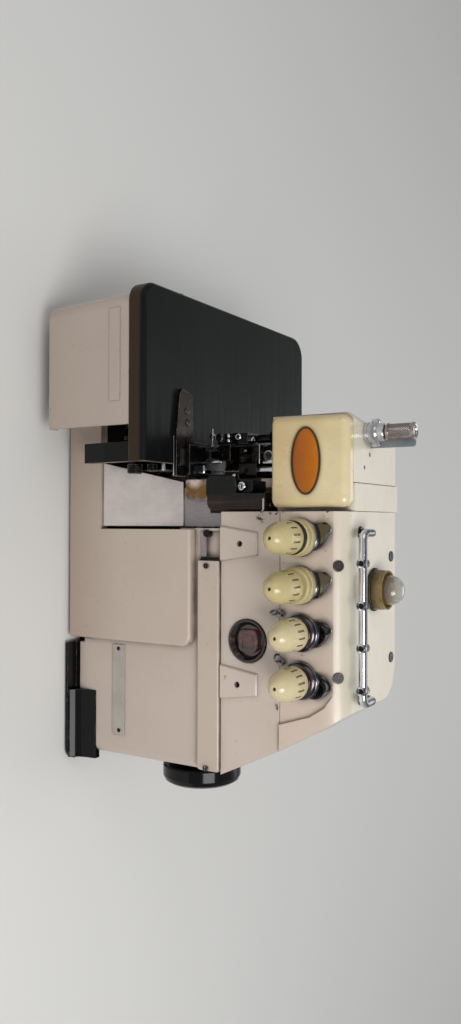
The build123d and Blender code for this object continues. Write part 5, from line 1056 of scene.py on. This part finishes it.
def presser_fittings():
    """Screws and the fluted adjusting nut of the presser arm."""
    bright = [cap_screw("arm_screw", (-87.6, -54, 165.6), 2.3, 3.4, UP),
              cap_screw("arm_face_screw", (-89.6, -59.4, 158.6), 2.7, 3.4, FRONT),
              cap_screw("arm_low_screw", (-91.0, -59.2, 148.6), 1.8, 3.2, FRONT, False),
              cap_screw("arm_low_screw", (-86.9, -59.2, 148.6), 1.8, 3.2, FRONT, False)]
    fitted(joined("arm_screws", bright), bright_chrome, "presser")
    nut = ribbed("arm_nut", (-89.6, -58.6, 141.5), 3.6, 5.0, FRONT, 3)
    fitted(nut, chrome_darkened_for_reflection, "presser")


def foot_fittings():
    """Spring wire, needle finger and clip that stand on the foot's sole."""
    finger = block_blank("foot_finger", (-70.4, -67.6, 125.0), (-68.6, -64.6, 143.5))
    pick_facing(UP)
    draw_out(0.5, 0.6, 2.4)
    bpy.ops.transform.resize(value=(0.5, 0.6, 1), center_override=Vector((-69, -65.5, 145)) * MM)
    closed(finger, edge=0.3)
    clip = block_blank("foot_clip", (-66.4, -70.4, 125.0), (-60.2, -69.4, 130.2))
    pick_facing(UP)
    draw_out(0, 0.9, 0.9)
    draw_out(0, 1.1, 0.1)
    closed(clip, edge=0.25)
    wire = lathed("foot_wire", [
        (0, 0), (0.7, 0.1), (0.8, 4.0), (1.3, 4.2), (1.3, 9.6), (0.8, 9.8), (0.7, 14.8), (0, 15)],
        (-98, -58.5, 131.5), RIGHT, UP, 20)
    nut = closed(block_blank("wire_block", (-93.4, -60.4, 129.6), (-89.0, -56.6, 133.4)), edge=0.5)
    stay = closed(block_blank("wire_stay", (-85.0, -59.6, 127.2), (-82.6, -57.4, 132.2)), edge=0.3)
    fitted(joined("foot_fittings", [finger, clip, wire, nut, stay]), bar_steel, "foot")


def knife_fittings():
    """Screws and side plate of the knife holder, the guard's lip, the chip shield and the tongue's edge."""
    screw = cap_screw("holder_screw", (-48.6, -71.4, 169.0), 3.8, 3.6, FRONT)
    small = cap_screw("plate_screw", (-57.6, -68.8, 159.4), 1.6, 1.6, FRONT, False)
    fitted(joined("knife_screws", [screw, small]), bright_chrome, "knife_group")
    side = block_blank("knife_side_plate", (-59.8, -69.0, 154.6), (-52.0, -66.8, 163.2))
    pocket(0.9, 0.5)
    fitted(closed(side, edge=0.4), works_black, "knife_group")
    lip = block_blank("guard_lip", (-38.6, -79.0, 191.0), (-30.2, -77.6, 192.6))
    pick_facing(RIGHT)
    for across, down in ((1.0, -0.4), (0.7, -1.0), (0.3, -1.4)):
        draw_out(across, 0, down)
    fitted(closed(lip, edge=0.5), bar_steel)
    shield = block_blank("chip_shield", (-55.0, -76.1, 116.6), (-37.8, -75.6, 139.8))
    round_corners(1.6, 3)
    pocket(0.8, 0.12)
    fitted(closed(shield, edge=0.15), dull_steel)
    hinge = cap_screw("guard_screw", (-33.0, -70.0, 192.4), 2.2, 2.4, (0, -0.3, 1), False)
    fitted(hinge, chrome_darkened_for_reflection)
    strip = closed(block_blank("tongue_edge", (-89.5, -97.1, 118.5), (-57.2, -96.3, 119.3)), edge=0.25)
    fitted(strip, bar_steel)


def plate_fittings():
    """Ribbed catch rollers at the right of the cloth plate and the screw in its left side."""
    rollers = [ribbed("catch_roller", (-66.6, -115.0, 94.0), 6.3, 7.9, RIGHT, 4),
               ribbed("catch_stop", (-66.7, -108.0, 106.0), 4.4, 6.0, RIGHT, 3)]
    fitted(joined("catch_rollers", rollers), tray_black, "plate_assembly")
    tip = cap_screw("catch_tip", (-66.8, -102.5, 113.2), 1.9, 5.2, RIGHT, False)
    side = cap_screw("side_screw", (-207.6, -74.0, 108.5), 3.2, 3.2, (-1, 0, 0))
    fitted(joined("plate_screws", [tip, side]), bright_chrome, "plate_assembly")


def slot_fittings():
    """Grey guide strip behind the stitch button, and a dark sheet that paints the shade of the open gap
    beside the bar.
    """
    strip = block_blank("slot_strip", (-12.9, -84.1, 137.0), (7.9, -82.9, 142.2))
    pocket(0.7, 0.5)
    fitted(closed(strip, edge=0.2), dull_steel)
    # Painted shade: a black sheet stands in the open gap.
    gap_shade_plate = block_blank("slot_gap_shade_plate", (8.1, -84.6, 136.4), (10.9, -83.0, 155.6))
    pocket(0.5, 0.6)
    fitted(closed(gap_shade_plate, edge=0.2), works_black)


tension_metal()
knobs()
mist_strip()
thread_eyes()
dome()
pressure_set()
guide_eyes()
badge()
lens_frame()
works_bracket()
presser_fittings()
foot_fittings()
knife_fittings()
plate_fittings()
slot_fittings()

# Floor, light and camera
bpy.ops.object.select_all(action="DESELECT")
bpy.ops.mesh.primitive_plane_add(size=12, location=(0, 0, 0))
floor = bpy.context.active_object
floor.name = "floor"
pale = Finish("pale_floor", tint(222, 221, 217), 0.75)
paint(floor, pale.material)


def lamp(name, place, aim, size, power):
    """A soft square lamp that faces a point."""
    light = bpy.data.lights.new(name, "AREA")
    light.shape = "SQUARE"
    light.size = size
    light.energy = power
    holder = bpy.data.objects.new(name, light)
    bpy.context.scene.collection.objects.link(holder)
    holder.location = place
    holder.rotation_euler = (Vector(aim) - Vector(place)).to_track_quat("-Z", "Y").to_euler()


lamp("key_lamp", (0.5, -0.85, 1.15), (0, 0, 0.15), 0.7, 11.5)
lamp("fill_lamp", (-1.5, -1.2, 1.3), (0, 0, 0.12), 1.4, 4)
lamp("back_lamp", (0.2, 1.7, 1.5), (0, 0, 0.15), 1.2, 7)
world = bpy.data.worlds.new("studio")
world.use_nodes = True
world.node_tree.nodes["Background"].inputs["Color"].default_value = (0.86, 0.87, 0.9, 1.0)
world.node_tree.nodes["Background"].inputs["Strength"].default_value = 0.42
bpy.context.scene.world = world
bpy.context.scene.view_settings.view_transform = "Standard"

CAMERA_PLACE = (-0.019, -0.6695, 0.525)
FOCAL_PIXELS = 870
LONG_SIDE_PIXELS = 1024
SENSOR = 36
YAW = radians(-0.87)
PITCH = radians(31.58)
ROLL = radians(-0.3)
ahead = Vector((sin(YAW) * cos(PITCH), cos(YAW) * cos(PITCH), -sin(PITCH)))
level = Vector((cos(YAW), -sin(YAW), 0))
upward = level.cross(ahead)
right = level * cos(ROLL) + upward * sin(ROLL)
top = -level * sin(ROLL) + upward * cos(ROLL)
camera = bpy.data.objects.new("camera", bpy.data.cameras.new("camera"))
bpy.context.scene.collection.objects.link(camera)
camera.data.lens = FOCAL_PIXELS * SENSOR / LONG_SIDE_PIXELS
camera.data.sensor_width = SENSOR
turn = Matrix((top, -right, -ahead)).transposed()
camera.matrix_world = Matrix.Translation(CAMERA_PLACE) @ turn.to_4x4()
bpy.context.scene.camera = camera
